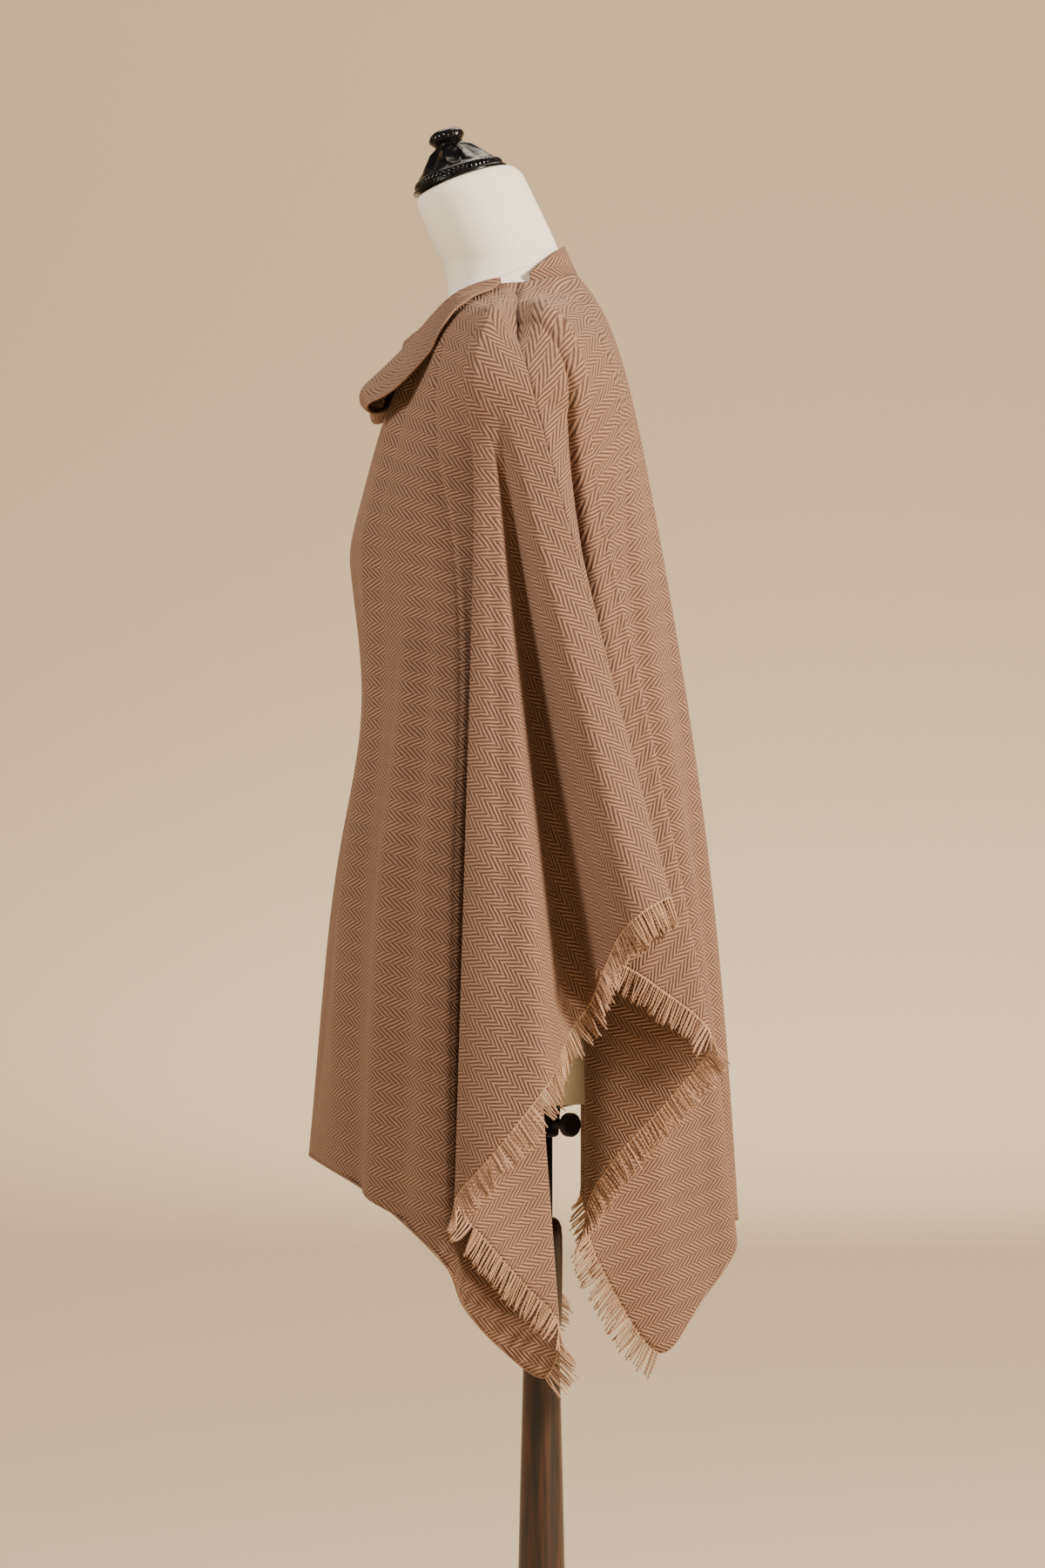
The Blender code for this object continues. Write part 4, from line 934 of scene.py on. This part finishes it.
def screwPlace(grid):
    # its own axis laid level, pointing outward along +X and +Y
    c, s = math.cos(stand["screwTurn"]), math.sin(stand["screwTurn"])
    out = grid[..., 2] + stand["screwSeat"]
    return np.stack([
        out * c - grid[..., 1] * s, out * s + grid[..., 1] * c, stand["screwHeight"] - grid[..., 0]], axis=-1)


turnedPiece("clampCollar", "clamp_collar", stand["collar"], 96, iron)
turnedPiece("standRod", "stand_rod", stand["rod"], 64, iron)
turnedPiece("standPole", "stand_pole", stand["pole"], 96, wood)
turnedPiece("standBase", "stand_base", stand["base"], 160, wood)
turnedPiece("clampScrew", "clamp_screw", stand["screw"], 48, iron, screwPlace)

cap = dict(
    # radius and height of the carved cap, mm
    profile=np.array([
        (0.5, 54.2), (7, 54), (12, 53.2), (15, 51.4), (17.4, 48.6), (18, 46), (17.6, 43.4), (15.4, 41),
        (14, 39), (15, 37), (17.4, 35), (21, 31), (26, 25.4), (31, 20), (36, 15.6), (40, 12.6), (43, 11),
        (44.6, 9.8), (45.2, 8), (45.6, 5.6), (46, 3.6), (48.6, 2.6), (49, 1.6), (49, 0)], float) * mm,
    rows=120, sides=432, forward=5.0 * mm, seat=0.3 * mm, sharp=math.radians(60.0),
    slopeFoot=12.0 * mm, footFade=4.0 * mm, slopeTop=38.0 * mm, topFade=5.0 * mm,
    flutes=12, fluteEdge=0.8, fluteMean=0.55, fluteDepth=4.2, swirl=0.22, swirlRise=30.0 * mm,
    rosettes=4, ovalWide=8.0 * mm, ovalTall=10.0 * mm, ovalHeight=23.0 * mm, rosetteDepth=1.3,
    rimHeight=1.6, rimSpread=0.3, hollowDepth=1.4, hollowSpread=0.55, groundFrom=0.8, groundFade=0.4,
    beads=54, beadHeight=6.8 * mm, beadSpread=2.0 * mm, beadDepth=1.5,
    knobRidges=16, knobDepth=0.35, knobHeight=46.0 * mm, knobSpread=3.0 * mm)


def buildCap():
    # the profile spun about its axis and carved: radius + flutes that swirl up the slope + four oval
    # rosettes + a row of beads above the rim; then leaned forward onto the neck
    p = cap["profile"]
    run = lengthAlong(p)
    at = np.linspace(0.0, run[-1], cap["rows"])
    radius, height = [np.interp(at, run, p[:, k])[:, None] for k in (0, 1)]
    a = np.arange(cap["sides"])[None] * 2.0 * math.pi / cap["sides"]
    slope = np.clip((height - cap["slopeFoot"]) / cap["footFade"], 0.0, 1.0)
    slope = slope * np.clip((cap["slopeTop"] - height) / cap["topFade"], 0.0, 1.0)
    four = cap["rosettes"] * a
    swirl = a + cap["swirl"] * np.sin(four) * (height / cap["swirlRise"])
    flute = np.abs(np.cos(swirl * cap["flutes"] / 2.0)) ** cap["fluteEdge"]
    quarter = np.arctan2(np.sin(four), np.cos(four)) / cap["rosettes"]
    oval = np.hypot(quarter * radius / cap["ovalWide"], (height - cap["ovalHeight"]) / cap["ovalTall"])
    rim, hollow = bell(oval, 1.0, cap["rimSpread"]), bell(oval, 0.0, cap["hollowSpread"])
    rosette = cap["rimHeight"] * rim - cap["hollowDepth"] * hollow
    ground = np.clip((oval - cap["groundFrom"]) / cap["groundFade"], 0.0, 1.0)
    ground = ground * (flute - cap["fluteMean"]) * cap["fluteDepth"]
    carved = slope * (ground + rosette * cap["rosetteDepth"])
    band = bell(height, cap["beadHeight"], cap["beadSpread"])
    bead = cap["beadDepth"] * (np.sqrt(np.abs(np.sin(a * cap["beads"] / 2.0))) * band - 0.5 * band)
    knobBand = bell(height, cap["knobHeight"], cap["knobSpread"])
    knob = cap["knobDepth"] * np.cos(cap["knobRidges"] * a) * knobBand
    wide = radius + (carved + bead + knob) * mm
    c, s = math.cos(form["neckTilt"]), math.sin(form["neckTilt"])
    x, y = wide * np.cos(a), wide * np.sin(a) - cap["forward"]
    z = np.broadcast_to(height + cap["seat"], x.shape)
    grid = np.stack([x, y * c - z * s, y * s + z * c], axis=-1) + form["neckTop"]
    piece = putMesh("neckCap", grid, spunFaces(cap["rows"], cap["sides"]), lacquer)
    piece.data.set_sharp_from_angle(angle=cap["sharp"])
    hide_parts("neck_cap")


buildCap()
print("stand made")

# studio

studio = dict(
    floorRings=[0.02, 1.5, 2.5], sweepFlat=3.2, sweepWall=10.6, bendHeight=4.0, sweepHeight=7.0, bendRings=24,
    sweepSides=96, worldLight=0.09, distance=4.0, eye=(4.0, -0.019, 0.972), high=1.566, sensor=36.0)


def buildSweep():
    # a floor that turns up into a wall all round: radius r, height a quarter ellipse between flat and wall
    turn = np.linspace(0.0, math.pi / 2.0, studio["bendRings"])
    bend = studio["sweepWall"] - studio["sweepFlat"]
    floor, sides = np.array(studio["floorRings"]), studio["sweepSides"]
    r = np.concatenate([floor, studio["sweepFlat"] + bend * np.sin(turn), [studio["sweepWall"]]])
    z = np.concatenate([0.0 * floor, studio["bendHeight"] * (1.0 - np.cos(turn)), [studio["sweepHeight"]]])
    a = np.arange(sides) * 2.0 * math.pi / sides
    grid = np.stack(np.broadcast_arrays(r[:, None] * np.cos(a), r[:, None] * np.sin(a), z[:, None]), axis=-1)
    faces = gridFaces(len(r), sides, closed=True)[:, ::-1].tolist() + [list(range(sides))]
    mesh = bpy.data.meshes.new("studioSweep")
    mesh.from_pydata(grid.reshape(-1, 3).tolist(), [], faces)
    mesh.shade_smooth()
    made, _, shader = startMaterial("paleBackdropPaper", Roughness=0.95)
    shader.inputs["Base Color"].default_value = linear("#cfbc9f")
    mesh.materials.append(made)
    sweep = bpy.data.objects.new("studioSweep", mesh)
    bpy.context.collection.objects.link(sweep)


def addLight(name, place, target, size, watts, colour):
    data = bpy.data.lights.new(name, "AREA")
    data.shape = "DISK"
    data.size = size
    data.energy = watts
    data.color = linear(colour)[:3]
    light = bpy.data.objects.new(name, data)
    bpy.context.collection.objects.link(light)
    way = np.array(place) - np.array(target)
    side = unit(np.cross((0.0, 0.0, 1.0), way))
    turn = np.stack([side, unit(np.cross(way, side)), unit(way)], axis=1)
    light.matrix_world = Matrix([[*turn[k], place[k]] for k in range(3)] + [[0.0, 0.0, 0.0, 1.0]])
    light.visible_camera = False


buildSweep()
addLight("keyLight", (2.5, 3.3, 2.9), (0.1, 0.0, 1.0), 0.8, 500.0, "#fff1de")
addLight("fillLight", (2.2, -3.6, 3.0), (0.0, -0.05, 1.45), 1.4, 35.0, "#fff6ea")
addLight("neckLight", (1.2, -1.7, 2.5), (0.0, -0.07, 1.53), 0.5, 44.0, "#fff6ea")
addLight("topLight", (-4.0, 0.3, 6.5), (-4.8, 0.3, 0.0), 5.5, 400.0, "#fff1de")
addLight("backdropLight", (-4.2, 0.8, 3.2), (-10.6, 1.2, 2.9), 4.0, 245.0, "#fff0dc")
world = bpy.context.scene.world or bpy.data.worlds.new("studio")
bpy.context.scene.world = world
world.use_nodes = True
sky = world.node_tree.nodes["Background"]
sky.inputs[0].default_value = linear("#f2e9dc")
sky.inputs[1].default_value = studio["worldLight"]

camera = bpy.data.cameras.new("camera")
camera.sensor_width = studio["sensor"]
camera.lens = camera.sensor_width * studio["distance"] / studio["high"]
eye = bpy.data.objects.new("camera", camera)
bpy.context.collection.objects.link(eye)
eye.location = studio["eye"]
eye.rotation_euler = (math.pi / 2.0, 0.0, math.pi / 2.0)
bpy.context.scene.camera = eye
print("studio made")
